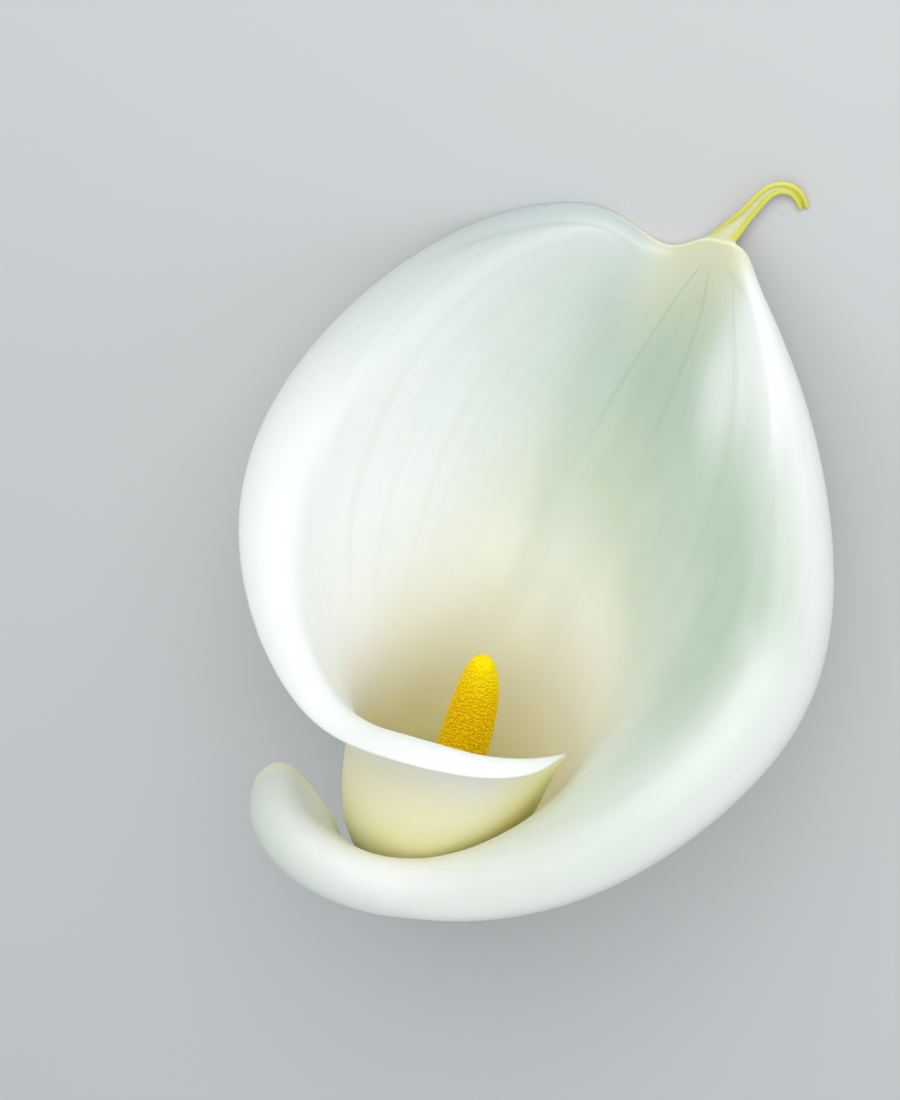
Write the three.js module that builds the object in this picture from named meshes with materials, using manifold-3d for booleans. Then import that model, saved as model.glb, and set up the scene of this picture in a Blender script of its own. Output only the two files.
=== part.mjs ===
// An arum lily flower, cut with a short stalk and lying on its back on a table.
//
// All sizes are in millimetres. The flower is described upright first: z runs up the flower's own
// axis from the foot of the spathe, and an angle round that axis is 0 at the back, positive towards
// +x. The finished flower is then bent, laid down and set on the table, where +Z is up.

import * as THREE from "three";
import { mergeVertices } from "three/addons/utils/BufferGeometryUtils.js";
import Module from "manifold-3d";

const DEG = Math.PI / 180;

// The rolled tube of the spathe, as the radius of the middle of its sheet. Its foot is a closed ring,
// and within GAIN_HEIGHT of it the roll opens into a spiral.
const TUBE_FOOT_RADIUS = 6;
const TUBE_BELLY = 14.8;
const TUBE_BELLY_HEIGHT = 14;
const TUBE_CONE = 0.04;
const TUBE_GAIN_PER_TURN = 3;
const GAIN_HEIGHT = 2.2;

// Ribs of the spathe, from its inner front margin round the back to its outer front margin.
// Each rib climbs the tube, leans out over the crest of the rim and rolls back from there.
const RIBS = [
  { angle: -256, crestRadius: 20.7, crestHeight: 69.3, lean: 6, rollRadius: 1.1, roll: 20, leave: 0.6 },
  { angle: -240, crestRadius: 21.5, crestHeight: 77.2, lean: 7, rollRadius: 1.4, roll: 45, leave: 0.6 },
  { angle: -220, crestRadius: 22, crestHeight: 81.5, lean: 8, rollRadius: 2.6, roll: 90, leave: 0.6 },
  { angle: -185, crestRadius: 21.5, crestHeight: 81.2, lean: 10, rollRadius: 4, roll: 115, leave: 0.6 },
  { angle: -153, crestRadius: 22.5, crestHeight: 77, lean: 20, rollRadius: 5, roll: 115, leave: 0.55 },
  { angle: -118, crestRadius: 28, crestHeight: 69, lean: 40, rollRadius: 4.8, roll: 115, leave: 0.5 },
  { angle: -83, crestRadius: 43, crestHeight: 78, lean: 50, rollRadius: 8, roll: 105, leave: 0.42 },
  { angle: -48, crestRadius: 60, crestHeight: 94, lean: 48, rollRadius: 12, roll: 100, leave: 0.36 },
  { angle: -22, crestRadius: 72, crestHeight: 121, lean: 44, rollRadius: 8.5, roll: 95, leave: 0.33 },
  { angle: -9, crestRadius: 74, crestHeight: 131, lean: 38, rollRadius: 4, roll: 95, leave: 0.32 },
  { angle: -2, crestRadius: 74, crestHeight: 130, lean: 36, rollRadius: 2.5, roll: 85, leave: 0.32 },
  { angle: 3.5, crestRadius: 74.5, crestHeight: 132.5, lean: 33, rollRadius: 2.5, roll: 60, leave: 0.32 },
  { angle: 7.5, crestRadius: 74.5, crestHeight: 138, lean: 28, rollRadius: 6, roll: 16, leave: 0.32 },
  { angle: 13, crestRadius: 71, crestHeight: 139, lean: 32, rollRadius: 3, roll: 60, leave: 0.32 },
  { angle: 20, crestRadius: 64.5, crestHeight: 136, lean: 36, rollRadius: 3, roll: 110, leave: 0.32 },
  { angle: 37, crestRadius: 54, crestHeight: 127, lean: 36, rollRadius: 6.2, roll: 120, leave: 0.34 },
  { angle: 66, crestRadius: 48, crestHeight: 107, lean: 42, rollRadius: 8.8, roll: 130, leave: 0.38 },
  { angle: 100, crestRadius: 41, crestHeight: 94, lean: 50, rollRadius: 8, roll: 140, leave: 0.42 },
  { angle: 136, crestRadius: 34.5, crestHeight: 72, lean: 55, rollRadius: 6.7, roll: 150, leave: 0.48 },
  { angle: 172, crestRadius: 26, crestHeight: 47, lean: 50, rollRadius: 5.8, roll: 150, leave: 0.55 },
  { angle: 206, crestRadius: 26, crestHeight: 37, lean: 45, rollRadius: 5.5, roll: 160, leave: 0.72 },
  { angle: 240, crestRadius: 28, crestHeight: 29, lean: 45, rollRadius: 6, roll: 150, leave: 0.62 },
  { angle: 268, crestRadius: 29.2, crestHeight: 19, lean: 60, rollRadius: 5.2, roll: 80, leave: 0.6 },
];
const LIMB_HANDLE = 0.45;

// Along a rib, from 0 at the foot to 1 at the edge: where the tube and then the limb end.
const TUBE_SHARE = 0.24;
const LIMB_SHARE = 0.68;

// At the foot the two margins meet, and they spread to their full wrap up to this share of a rib.
const FOOT_WRAP = 0.68;
const FULL_WRAP_SHARE = 0.32;

// The outer margin ends in a rounded lobe. LOBE_FROM is the angle at which it begins. It reaches
// furthest at the share LOBE_MIDDLE, and draws back by up to LOBE_PULL degrees above and below that.
const LOBE_FROM = 201;
const LOBE_MIDDLE = 0.78;
const LOBE_HALF = 0.425;
const LOBE_PULL = 22;
const LOBE_POWER = 1.7;

// Thickness of the sheet: fleshy at the foot, thin along its margins.
const FOOT_THICKNESS = 1.4;
const RIM_THICKNESS = 0.9;
const SIDE_THINNING = 0.3;
const SIDE_THINNING_POWER = 6;

// How finely the sheet is divided, up its ribs and round its rim.
const TUBE_ROWS = 6;
const LIMB_ROWS = 11;
const ROLL_ROWS = 8;
const RIM_STEP = 9;
const TIP_SIDE_ANGLE = 21;
const TIP_SIDE_STEP = 4;
const TAIL_STEP = 1.1;

// The long curled tail on the tip of the spathe, a small channel open to the front.
const TIP_ANGLE = 7.5;
const TAIL_HALF_ANGLE = 2.2;
const TAIL_RUN = new THREE.Vector3(0.31, 0.28, 0.91).normalize();
const TAIL_SIDE = new THREE.Vector3(0.946, 0, -0.322).normalize();
const TAIL_LENGTH = 24.5;
const TAIL_CURL_FROM = 0.5;
const TAIL_CURL = 128;
const TAIL_HALF_WIDTH = 2.6;
const TAIL_END_HALF_WIDTH = 1.2;
const TAIL_FOLD = 100;
const TAIL_JOIN_SHARE = 0.35;
const TAIL_THICKNESS = 0.8;
const TAIL_ROWS = 14;
const TAIL_TRACE_STEPS = 40;

// The spadix: a pale lower zone of ovaries and a golden upper zone of anthers.
const FEMALE_FROM = 6;
const ZONE_LINE = 22;
const SPADIX_TOP = 83;
const SPADIX_RADIUS = 5.4;
const SPADIX_TAPER_POWER = 4;
const SPADIX_ROUNDING = 0.38;
const SPADIX_LEAN_FROM = 1.8;
const SPADIX_LEAN_TO = -2.3;
const SPADIX_LEAN_POWER = 3;
const ANTHER_RELIEF = 0.3;
const ANTHER_COLUMNS = 26;
const ANTHER_ROWS = 42;
const OVARY_RELIEF = 0.5;
const OVARY_COLUMNS = 18;
const OVARY_ROWS = 9;

// The cut stalk, with its shoulder under the spathe and the core that carries the spadix.
const STEM_LENGTH = 52;
const STEM_RADIUS = 5.2;
const STEM_CUT_RADIUS = 5.6;
const SHOULDER_RADIUS = 7.4;
const SHOULDER_HEIGHT = -0.6;
const SHOULDER_FADE = 9;
const CORE_RADIUS = 3.6;
const STEM_SIDES = 28;
const STEM_RING_STEP = 5;
const GAP = 0.3;

// The lower flower bends back, and the stalk curves gently forward again.
const BEND_FROM = 40;
const BEND_RADIUS = 110;
const STEM_FORWARD_CURVE = 500;
const STEM_SIDE_CURVE = 230;

// How the flower lies: spun about its own axis, laid on its back, and turned with its mouth to the
// front. It bears on the table at its tail, the left of its rim and its cut end, a quarter of a
// millimetre of which the table presses flat.
const LIE_SPIN = 7.96;
const LIE_PITCH = -75;
const LIE_TURN = 180;
const LIE_OFFSET = new THREE.Vector3(-4.306, 63.737, 39.84);
const TABLE_SIZE = 400;
const SAME_POINT = 1e-4;

// A smooth curve through the given values, with no curvature at its two ends.
function naturalSpline(xs, ys) {
  const n = xs.length;
  const second = new Array(n).fill(0);
  const carried = new Array(n).fill(0);
  for (let i = 1; i < n - 1; i++) {
    const share = (xs[i] - xs[i - 1]) / (xs[i + 1] - xs[i - 1]);
    const pivot = share * second[i - 1] + 2;
    second[i] = (share - 1) / pivot;
    const after = (ys[i + 1] - ys[i]) / (xs[i + 1] - xs[i]);
    const before = (ys[i] - ys[i - 1]) / (xs[i] - xs[i - 1]);
    const slopeChange = (6 * (after - before)) / (xs[i + 1] - xs[i - 1]);
    carried[i] = (slopeChange - share * carried[i - 1]) / pivot;
  }
  for (let i = n - 2; i >= 0; i--) {
    second[i] = second[i] * second[i + 1] + carried[i];
  }
  return (x) => {
    let i = 1;
    while (i < n - 1 && x > xs[i]) {
      i++;
    }
    const width = xs[i] - xs[i - 1];
    const a = (xs[i] - x) / width;
    const b = (x - xs[i - 1]) / width;
    const bulge = ((a ** 3 - a) * second[i - 1] + (b ** 3 - b) * second[i]) * (width ** 2 / 6);
    return a * ys[i - 1] + b * ys[i] + bulge;
  };
}

const ribAngles = RIBS.map((rib) => rib.angle);
const ribValue = {};
for (const key of ["crestRadius", "crestHeight", "lean", "rollRadius", "roll", "leave"]) {
  ribValue[key] = naturalSpline(ribAngles, RIBS.map((rib) => rib[key]));
}

function tubeRadius(z) {
  return TUBE_FOOT_RADIUS + TUBE_BELLY * (1 - Math.exp(-z / TUBE_BELLY_HEIGHT)) + TUBE_CONE * z;
}

function tubeSlope(z) {
  return (TUBE_BELLY / TUBE_BELLY_HEIGHT) * Math.exp(-z / TUBE_BELLY_HEIGHT) + TUBE_CONE;
}

// Radius and height of the sheet at an angle round the flower and a share of the way up the rib.
function ribPoint(angle, share) {
  const lean = ribValue.lean(angle) * DEG;
  const crest = new THREE.Vector2(ribValue.crestRadius(angle), ribValue.crestHeight(angle));
  const gain = (TUBE_GAIN_PER_TURN * angle) / 360;
  const tubeTop = ribValue.leave(angle) * crest.y;
  if (share <= TUBE_SHARE) {
    const z = (tubeTop * share) / TUBE_SHARE;
    return new THREE.Vector2(tubeRadius(z) + gain * smooth(z / GAIN_HEIGHT), z);
  }
  if (share <= LIMB_SHARE) {
    const start = new THREE.Vector2(tubeRadius(tubeTop) + gain, tubeTop);
    const up = new THREE.Vector2(tubeSlope(tubeTop), 1).normalize();
    const over = new THREE.Vector2(Math.sin(lean), Math.cos(lean));
    const reach = start.distanceTo(crest) * LIMB_HANDLE;
    const limb = new THREE.CubicBezierCurve(
      start,
      start.clone().addScaledVector(up, reach),
      crest.clone().addScaledVector(over, -reach),
      crest,
    );
    return limb.getPoint((share - TUBE_SHARE) / (LIMB_SHARE - TUBE_SHARE));
  }
  const rollRadius = ribValue.rollRadius(angle);
  const turn = lean + (ribValue.roll(angle) * DEG * (share - LIMB_SHARE)) / (1 - LIMB_SHARE);
  return new THREE.Vector2(
    crest.x + rollRadius * (Math.cos(lean) - Math.cos(turn)),
    crest.y + rollRadius * (Math.sin(turn) - Math.sin(lean)),
  );
}

function smooth(t) {
  return THREE.MathUtils.smoothstep(t, 0, 1);
}

// By how many degrees the outer margin draws back beside the lobe.
function lobePull(rimAngle, share) {
  const near = smooth((rimAngle - LOBE_FROM) / (RIBS.at(-1).angle - LOBE_FROM));
  const away = smooth(Math.abs(share - LOBE_MIDDLE) / LOBE_HALF);
  const risen = smooth(share / FULL_WRAP_SHARE);
  return LOBE_PULL * near * risen * away ** LOBE_POWER;
}

// A point of the middle of the sheet, named by the angle at which its rib meets the rim.
function sheetPoint(rimAngle, share) {
  const wrap = THREE.MathUtils.lerp(FOOT_WRAP, 1, smooth(share / FULL_WRAP_SHARE));
  const angle = (rimAngle - lobePull(rimAngle, share)) * wrap;
  const point = ribPoint(angle, share);
  return new THREE.Vector3(point.x * Math.sin(angle * DEG), point.x * Math.cos(angle * DEG), point.y);
}

function sheetThickness(rimAngle, share) {
  const side = Math.abs(rimAngle) / RIBS.at(-1).angle;
  const middle = THREE.MathUtils.lerp(FOOT_THICKNESS, RIM_THICKNESS, share);
  return middle * (1 - SIDE_THINNING * Math.min(1, side ** SIDE_THINNING_POWER));
}

// Middle points of the tail: across goes from -1 to 1, along from 0 at the root to 1 at its end.
function tailPoint(across, along, root) {
  const centre = root.clone();
  const heading = new THREE.Vector3();
  let turn = 0;
  for (let i = 0; i < TAIL_TRACE_STEPS; i++) {
    const here = (along * (i + 0.5)) / TAIL_TRACE_STEPS;
    turn = TAIL_CURL * DEG * smooth((here - TAIL_CURL_FROM) / (1 - TAIL_CURL_FROM));
    heading.copy(TAIL_RUN).multiplyScalar(Math.cos(turn)).addScaledVector(TAIL_SIDE, Math.sin(turn));
    centre.addScaledVector(heading, (TAIL_LENGTH * along) / TAIL_TRACE_STEPS);
  }
  const sideways = TAIL_RUN.clone().multiplyScalar(-Math.sin(turn));
  sideways.addScaledVector(TAIL_SIDE, Math.cos(turn));
  const front = new THREE.Vector3().crossVectors(TAIL_SIDE, TAIL_RUN);
  const halfWidth = THREE.MathUtils.lerp(TAIL_HALF_WIDTH, TAIL_END_HALF_WIDTH, along);
  const fold = TAIL_FOLD * DEG;
  const radius = halfWidth / fold;
  centre.addScaledVector(sideways, radius * Math.sin(across * fold));
  return centre.addScaledVector(front, radius * (1 - Math.cos(across * fold)));
}

// The angles at which the sheet's ribs meet the rim, closer together round the tip.
function rimAngles() {
  const steps = [
    [RIBS[0].angle, RIM_STEP],
    [TIP_ANGLE - TIP_SIDE_ANGLE, TIP_SIDE_STEP],
    [TIP_ANGLE - TAIL_HALF_ANGLE, TAIL_STEP],
    [TIP_ANGLE + TAIL_HALF_ANGLE, TIP_SIDE_STEP],
    [TIP_ANGLE + TIP_SIDE_ANGLE, RIM_STEP],
    [RIBS.at(-1).angle, RIM_STEP],
  ];
  const angles = [RIBS[0].angle];
  for (let i = 1; i < steps.length; i++) {
    angles.push(...spread(steps[i - 1][0], steps[i][0], steps[i - 1][1]).slice(1));
  }
  return angles;
}

function spread(from, to, step) {
  const count = Math.round(Math.abs(to - from) / step);
  return Array.from({ length: count + 1 }, (_, i) => from + ((to - from) * i) / count);
}

function rowShares() {
  const tube = spread(0, TUBE_SHARE, TUBE_SHARE / TUBE_ROWS);
  const limb = spread(TUBE_SHARE, LIMB_SHARE, (LIMB_SHARE - TUBE_SHARE) / LIMB_ROWS);
  const roll = spread(LIMB_SHARE, 1, (1 - LIMB_SHARE) / ROLL_ROWS);
  return [...tube, ...limb.slice(1), ...roll.slice(1)];
}

// The lower flower and its stalk bend backwards, from the middle of the tube down.
function bend(point) {
  if (point.z >= BEND_FROM) {
    return point;
  }
  const bent = point.clone();
  const turn = (BEND_FROM - Math.max(point.z, 0)) / BEND_RADIUS;
  const arm = BEND_RADIUS - point.y;
  bent.y = BEND_RADIUS - arm * Math.cos(turn);
  bent.z = BEND_FROM - arm * Math.sin(turn);
  if (point.z < 0) {
    bent.y += -point.z * Math.sin(turn);
    bent.z -= -point.z * Math.cos(turn);
  }
  return bent;
}

const lie = new THREE.Matrix4()
  .makeTranslation(LIE_OFFSET)
  .multiply(new THREE.Matrix4().makeRotationZ(LIE_TURN * DEG))
  .multiply(new THREE.Matrix4().makeRotationX(LIE_PITCH * DEG))
  .multiply(new THREE.Matrix4().makeRotationZ(LIE_SPIN * DEG));

function settle(point) {
  return bend(point).clone().applyMatrix4(lie);
}

// A closed body from the points in the middle of a sheet, its quads and its thickness.
function solidSheet(points, quads, thickness) {
  const middle = new THREE.BufferGeometry().setFromPoints(points);
  const triangles = quads.flatMap(([a, b, c, d]) => [a, b, c, a, c, d]);
  middle.setIndex(triangles);
  middle.computeVertexNormals();
  const normal = new THREE.Vector3();
  const faces = [1, -1].flatMap((side) => points.map((point, i) => {
    normal.fromBufferAttribute(middle.getAttribute("normal"), i);
    return point.clone().addScaledVector(normal, (side * thickness[i]) / 2);
  }));
  const far = points.length;
  const index = [...triangles];
  const edges = new Map();
  for (let i = 0; i < triangles.length; i += 3) {
    const [a, b, c] = triangles.slice(i, i + 3);
    index.push(far + a, far + c, far + b);
    for (const [from, to] of [[a, b], [b, c], [c, a]]) {
      if (!edges.delete(`${to} ${from}`)) {
        edges.set(`${from} ${to}`, [from, to]);
      }
    }
  }
  for (const [from, to] of edges.values()) {
    index.push(from, far + from, to, to, far + from, far + to);
  }
  return new THREE.BufferGeometry().setFromPoints(faces).setIndex(index);
}

function spatheSheet() {
  const angles = rimAngles();
  const tail = angles.filter((angle) => Math.abs(angle - TIP_ANGLE) < TAIL_HALF_ANGLE + TAIL_STEP / 2);
  const shares = rowShares();
  const points = [];
  const thickness = [];
  const quads = [];
  for (const share of shares) {
    for (const angle of angles) {
      points.push(settle(sheetPoint(angle, share)));
      thickness.push(sheetThickness(angle, share));
    }
  }
  const columns = angles.length;
  for (let row = 0; row < shares.length - 1; row++) {
    for (let column = 0; column < columns - 1; column++) {
      const corner = row * columns + column;
      quads.push([corner, corner + 1, corner + columns + 1, corner + columns]);
    }
  }
  const root = sheetPoint(TIP_ANGLE, 1);
  let below = (shares.length - 1) * columns + angles.indexOf(tail[0]);
  for (let row = 1; row <= TAIL_ROWS; row++) {
    const along = row / TAIL_ROWS;
    const start = points.length;
    for (let column = 0; column < tail.length; column++) {
      const across = (2 * column) / (tail.length - 1) - 1;
      const straight = sheetPoint(tail[column], 1).addScaledVector(TAIL_RUN, TAIL_LENGTH * along);
      points.push(settle(straight.lerp(tailPoint(across, along, root), smooth(along / TAIL_JOIN_SHARE))));
      thickness.push(TAIL_THICKNESS);
    }
    for (let column = 0; column < tail.length - 1; column++) {
      quads.push([below + column, below + column + 1, start + column + 1, start + column]);
    }
    below = start;
  }
  return solidSheet(points, quads, thickness);
}

// A body turned round the flower's axis from its outline, then shaped point by point.
function turnedBody(outline, sides, shape) {
  const geometry = new THREE.LatheGeometry(outline, sides);
  const position = geometry.getAttribute("position");
  const point = new THREE.Vector3();
  for (let i = 0; i < position.count; i++) {
    point.fromBufferAttribute(position, i);
    const upright = new THREE.Vector3(point.x, -point.z, point.y);
    const column = Math.floor(i / outline.length) % sides;
    position.setXYZ(i, ...settle(shape(upright, column, i % outline.length)).toArray());
  }
  geometry.deleteAttribute("normal");
  geometry.deleteAttribute("uv");
  const merged = mergeVertices(geometry, SAME_POINT);
  const index = Array.from(merged.getIndex().array);
  const kept = index.filter((_, i) => {
    const [a, b, c] = index.slice(i - (i % 3), i - (i % 3) + 3);
    return a !== b && b !== c && c !== a;
  });
  return merged.setIndex(kept);
}

function spadixRadius(z) {
  const share = THREE.MathUtils.clamp((z - ZONE_LINE) / (SPADIX_TOP - ZONE_LINE), 0, 1);
  return SPADIX_RADIUS * (1 - share ** SPADIX_TAPER_POWER) ** SPADIX_ROUNDING;
}

function leanSideways(point) {
  const share = ((point.z - FEMALE_FROM) / (SPADIX_TOP - FEMALE_FROM)) ** SPADIX_LEAN_POWER;
  return new THREE.Vector3(
    point.x + THREE.MathUtils.lerp(SPADIX_LEAN_FROM, SPADIX_LEAN_TO, share),
    point.y,
    point.z,
  );
}

// Every second point of a zone's net stands out, as one ovary or anther.
function spadixZone(from, to, rows, columns, relief) {
  const outline = [new THREE.Vector2(0, from)];
  for (const z of spread(from, to, (to - from) / rows)) {
    outline.push(new THREE.Vector2(spadixRadius(z), z));
  }
  if (outline.at(-1).x > 0) {
    outline.push(new THREE.Vector2(0, to));
  } else {
    outline.at(-1).x = 0;
  }
  return turnedBody(outline, columns, (point, column, row) => {
    const radius = Math.hypot(point.x, point.y);
    const inner = row > 1 && row < rows && (row + column) % 2 === 0;
    const grown = inner && radius > 0 ? (radius + relief) / radius : 1;
    return leanSideways(new THREE.Vector3(point.x * grown, point.y * grown, point.z));
  });
}

function stemBody() {
  const outline = [new THREE.Vector2(0, -STEM_LENGTH)];
  for (const z of spread(-STEM_LENGTH, SHOULDER_HEIGHT, STEM_RING_STEP)) {
    const down = -z / STEM_LENGTH;
    const shoulder = (SHOULDER_RADIUS - STEM_RADIUS) * Math.exp(-down * SHOULDER_FADE);
    outline.push(new THREE.Vector2(STEM_RADIUS + (STEM_CUT_RADIUS - STEM_RADIUS) * down + shoulder, z));
  }
  outline.push(new THREE.Vector2(CORE_RADIUS, SHOULDER_HEIGHT));
  outline.push(new THREE.Vector2(CORE_RADIUS, FEMALE_FROM - GAP));
  outline.push(new THREE.Vector2(0, FEMALE_FROM - GAP));
  return turnedBody(outline, STEM_SIDES, (point) => {
    const below = Math.min(point.z, 0);
    const forward = below ** 2 / (2 * STEM_FORWARD_CURVE);
    const sideways = below ** 2 / (2 * STEM_SIDE_CURVE);
    return new THREE.Vector3(point.x + sideways, point.y - forward, point.z);
  });
}

const wasm = await Module();
wasm.setup();

function solid(geometry) {
  const position = geometry.getAttribute("position");
  const mesh = new wasm.Mesh({
    numProp: 3,
    vertProperties: new Float32Array(position.array),
    triVerts: new Uint32Array(geometry.getIndex().array),
  });
  return new wasm.Manifold(mesh);
}

// Where the flower bears on the table its soft tissue is pressed flat.
function pressFlat(geometry) {
  const table = new THREE.BoxGeometry(TABLE_SIZE, TABLE_SIZE, TABLE_SIZE);
  table.translate(0, 0, -TABLE_SIZE / 2);
  table.deleteAttribute("normal");
  table.deleteAttribute("uv");
  const pressed = solid(geometry).subtract(solid(mergeVertices(table))).getMesh();
  const result = new THREE.BufferGeometry();
  result.setAttribute("position", new THREE.BufferAttribute(pressed.vertProperties, 3));
  result.setIndex(new THREE.BufferAttribute(pressed.triVerts, 1));
  return result;
}

function piece(name, geometry, colour, roughness) {
  const material = new THREE.MeshStandardMaterial({ color: colour, roughness, metalness: 0 });
  const mesh = new THREE.Mesh(geometry, material);
  mesh.name = name;
  return mesh;
}

const female = spadixZone(FEMALE_FROM, ZONE_LINE - GAP / 2, OVARY_ROWS, OVARY_COLUMNS, OVARY_RELIEF);
const male = spadixZone(ZONE_LINE + GAP / 2, SPADIX_TOP, ANTHER_ROWS, ANTHER_COLUMNS, ANTHER_RELIEF);

const flower = new THREE.Group();
flower.add(piece("stem", pressFlat(stemBody()), 0x8fae5a, 0.5));
flower.add(piece("spathe", pressFlat(spatheSheet()), 0xf1f3ea, 0.45));
flower.add(piece("spadix_female_zone", female, 0xc9cf7a, 0.6));
flower.add(piece("spadix_male_zone", male, 0xf0b400, 0.75));

export default flower;
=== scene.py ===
"""An arum lily flower on a short cut stalk, lying on its back on a pale studio floor.

The flower is first described upright, in metres: z runs up its own axis from the foot of the
spathe, and an angle round that axis is 0 at the back and positive towards +x. It is then bent and
laid down.
"""

import math
from functools import reduce

import bmesh
import bpy
from bpy.props import FloatProperty, FloatVectorProperty, IntProperty, PointerProperty
from mathutils import Matrix, Vector, noise


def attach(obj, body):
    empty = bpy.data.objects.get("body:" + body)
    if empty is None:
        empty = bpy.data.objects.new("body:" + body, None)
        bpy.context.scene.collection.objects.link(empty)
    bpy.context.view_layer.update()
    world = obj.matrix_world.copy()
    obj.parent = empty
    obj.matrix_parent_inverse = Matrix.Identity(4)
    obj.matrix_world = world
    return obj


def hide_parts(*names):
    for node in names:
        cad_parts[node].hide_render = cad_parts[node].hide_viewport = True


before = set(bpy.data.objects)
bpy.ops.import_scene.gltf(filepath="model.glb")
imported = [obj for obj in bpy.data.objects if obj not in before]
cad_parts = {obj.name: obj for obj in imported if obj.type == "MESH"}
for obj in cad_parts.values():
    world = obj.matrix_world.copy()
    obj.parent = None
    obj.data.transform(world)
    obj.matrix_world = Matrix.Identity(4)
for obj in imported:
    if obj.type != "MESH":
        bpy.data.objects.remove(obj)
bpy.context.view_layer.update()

bl_info = {
    "name": "Arum Lily",
    "version": (1, 0, 0),
    "blender": (4, 5, 0),
    "location": "3D View > Sidebar > Arum Lily",
    "description": "Builds a cut arum lily flower with its spathe, spadix and stalk",
    "category": "Add Mesh",
}

# The rolled tube of the spathe, as the radius of the middle of its sheet. Its foot is a closed
# ring, and within GAIN_HEIGHT of it the roll opens into a spiral.
TUBE_FOOT_RADIUS = 0.006
TUBE_BELLY = 0.0148
TUBE_BELLY_HEIGHT = 0.014
TUBE_CONE = 0.04
TUBE_GAIN_PER_TURN = 0.003
GAIN_HEIGHT = 0.0022

# Ribs of the spathe, from its inner front margin round the back to its outer front margin: angle,
# radius and height of the crest, lean at the crest, radius and angle of the roll beyond it, and the
# share of the crest's height at which the rib leaves the tube.
RIBS = (
    (-256, 0.0207, 0.0693, 6, 0.0011, 20, 0.60),
    (-240, 0.0215, 0.0772, 7, 0.0014, 45, 0.60),
    (-220, 0.0220, 0.0815, 8, 0.0026, 90, 0.60),
    (-185, 0.0215, 0.0812, 10, 0.0040, 115, 0.60),
    (-153, 0.0225, 0.0770, 20, 0.0050, 115, 0.55),
    (-118, 0.0280, 0.0690, 40, 0.0048, 115, 0.50),
    (-83, 0.0430, 0.0780, 50, 0.0080, 105, 0.42),
    (-48, 0.0600, 0.0940, 48, 0.0120, 100, 0.36),
    (-22, 0.0720, 0.1210, 44, 0.0085, 95, 0.33),
    (-9, 0.0740, 0.1310, 38, 0.0040, 95, 0.32),
    (-2, 0.0740, 0.1300, 36, 0.0025, 85, 0.32),
    (3.5, 0.0745, 0.1325, 33, 0.0025, 60, 0.32),
    (7.5, 0.0745, 0.1380, 28, 0.0060, 16, 0.32),
    (13, 0.0710, 0.1390, 32, 0.0030, 60, 0.32),
    (20, 0.0645, 0.1360, 36, 0.0030, 110, 0.32),
    (37, 0.0540, 0.1270, 36, 0.0062, 120, 0.34),
    (66, 0.0480, 0.1070, 42, 0.0088, 130, 0.38),
    (100, 0.0410, 0.0940, 50, 0.0080, 140, 0.42),
    (136, 0.0345, 0.0720, 55, 0.0067, 150, 0.48),
    (172, 0.0260, 0.0470, 50, 0.0058, 150, 0.55),
    (206, 0.0260, 0.0370, 45, 0.0055, 160, 0.72),
    (240, 0.0280, 0.0290, 45, 0.0060, 150, 0.62),
    (268, 0.0292, 0.0190, 60, 0.0052, 80, 0.60),
)

# How far the limb's curve keeps the directions of its two ends, the shares of a rib at which its
# tube and its limb end, and the wrap of the foot, which becomes full at a share of its own.
LIMB_HANDLE = 0.45
TUBE_SHARE = 0.24
LIMB_SHARE = 0.68
FOOT_WRAP = 0.68
FULL_WRAP_SHARE = 0.32

# The outer margin ends in a rounded lobe: the angle at which it begins, the share of a rib at which
# it reaches furthest round, and the degrees by which it draws back above and below that.
LOBE_FROM = 201
LOBE_MIDDLE = 0.78
LOBE_HALF = 0.425
LOBE_PULL = 22
LOBE_POWER = 1.7

# The sheet is thinner towards its two margins.
SIDE_THINNING = 0.3
SIDE_THINNING_POWER = 6

# Its swellings: scale of the broad and of the fine noise in cells a metre, height of the fine ones
# beside the broad ones, and how steeply both fade towards the foot and the rim.
BROAD_SWELLS = 45
FINE_SWELLS = 120
FINE_SWELL_HEIGHT = 0.4
SWELL_FADE_FOOT = 2
SWELL_FADE_RIM = 6

# How finely the sheet is divided, up its ribs and round its rim in degrees.
TUBE_ROWS = 12
LIMB_ROWS = 24
ROLL_ROWS = 16
RIM_STEP = 3.4
TIP_SIDE_ANGLE = 21
TIP_SIDE_STEP = 1.6
TAIL_STEP = 0.55

# The curled tail on the tip of the spathe, a small channel open to the front.
TIP_ANGLE = 7.5
TAIL_HALF_ANGLE = 2.2
TAIL_RUN = Vector((0.31, 0.28, 0.91)).normalized()
TAIL_SIDE = Vector((0.946, 0, -0.322)).normalized()
TAIL_LENGTH = 0.0245
TAIL_CURL_FROM = 0.5
TAIL_CURL = math.radians(128)
TAIL_HALF_WIDTH = 0.0026
TAIL_END_HALF_WIDTH = 0.0012
TAIL_FOLD = math.radians(100)
TAIL_JOIN_SHARE = 0.35
TAIL_THICKNESS = 0.0008
TAIL_ROWS = 22
TAIL_TRACE_STEPS = 40

# The spadix, from its lower zone of ovaries to the tip of its upper zone of anthers.
FEMALE_FROM = 0.006
ZONE_LINE = 0.022
SPADIX_TOP = 0.083
SPADIX_RADIUS = 0.0054
SPADIX_TAPER_POWER = 4
SPADIX_ROUNDING = 0.38
SPADIX_LEAN_FROM = 0.0018
SPADIX_LEAN_TO = -0.0023
SPADIX_LEAN_POWER = 3

# The core of each of its zones: sides, spacing of its rings, depth under the spadix's surface, and
# how far its end lies from the end of the spadix.
CORE_SIDES = 32
ANTHER_RING_STEP = 0.0012
ANTHER_CORE_DEPTH = 0.00022
ANTHER_CORE_END = 0.0006
OVARY_RING_STEP = 0.0016
OVARY_CORE_DEPTH = 0.0003
OVARY_CORE_END = 0.0004

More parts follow.
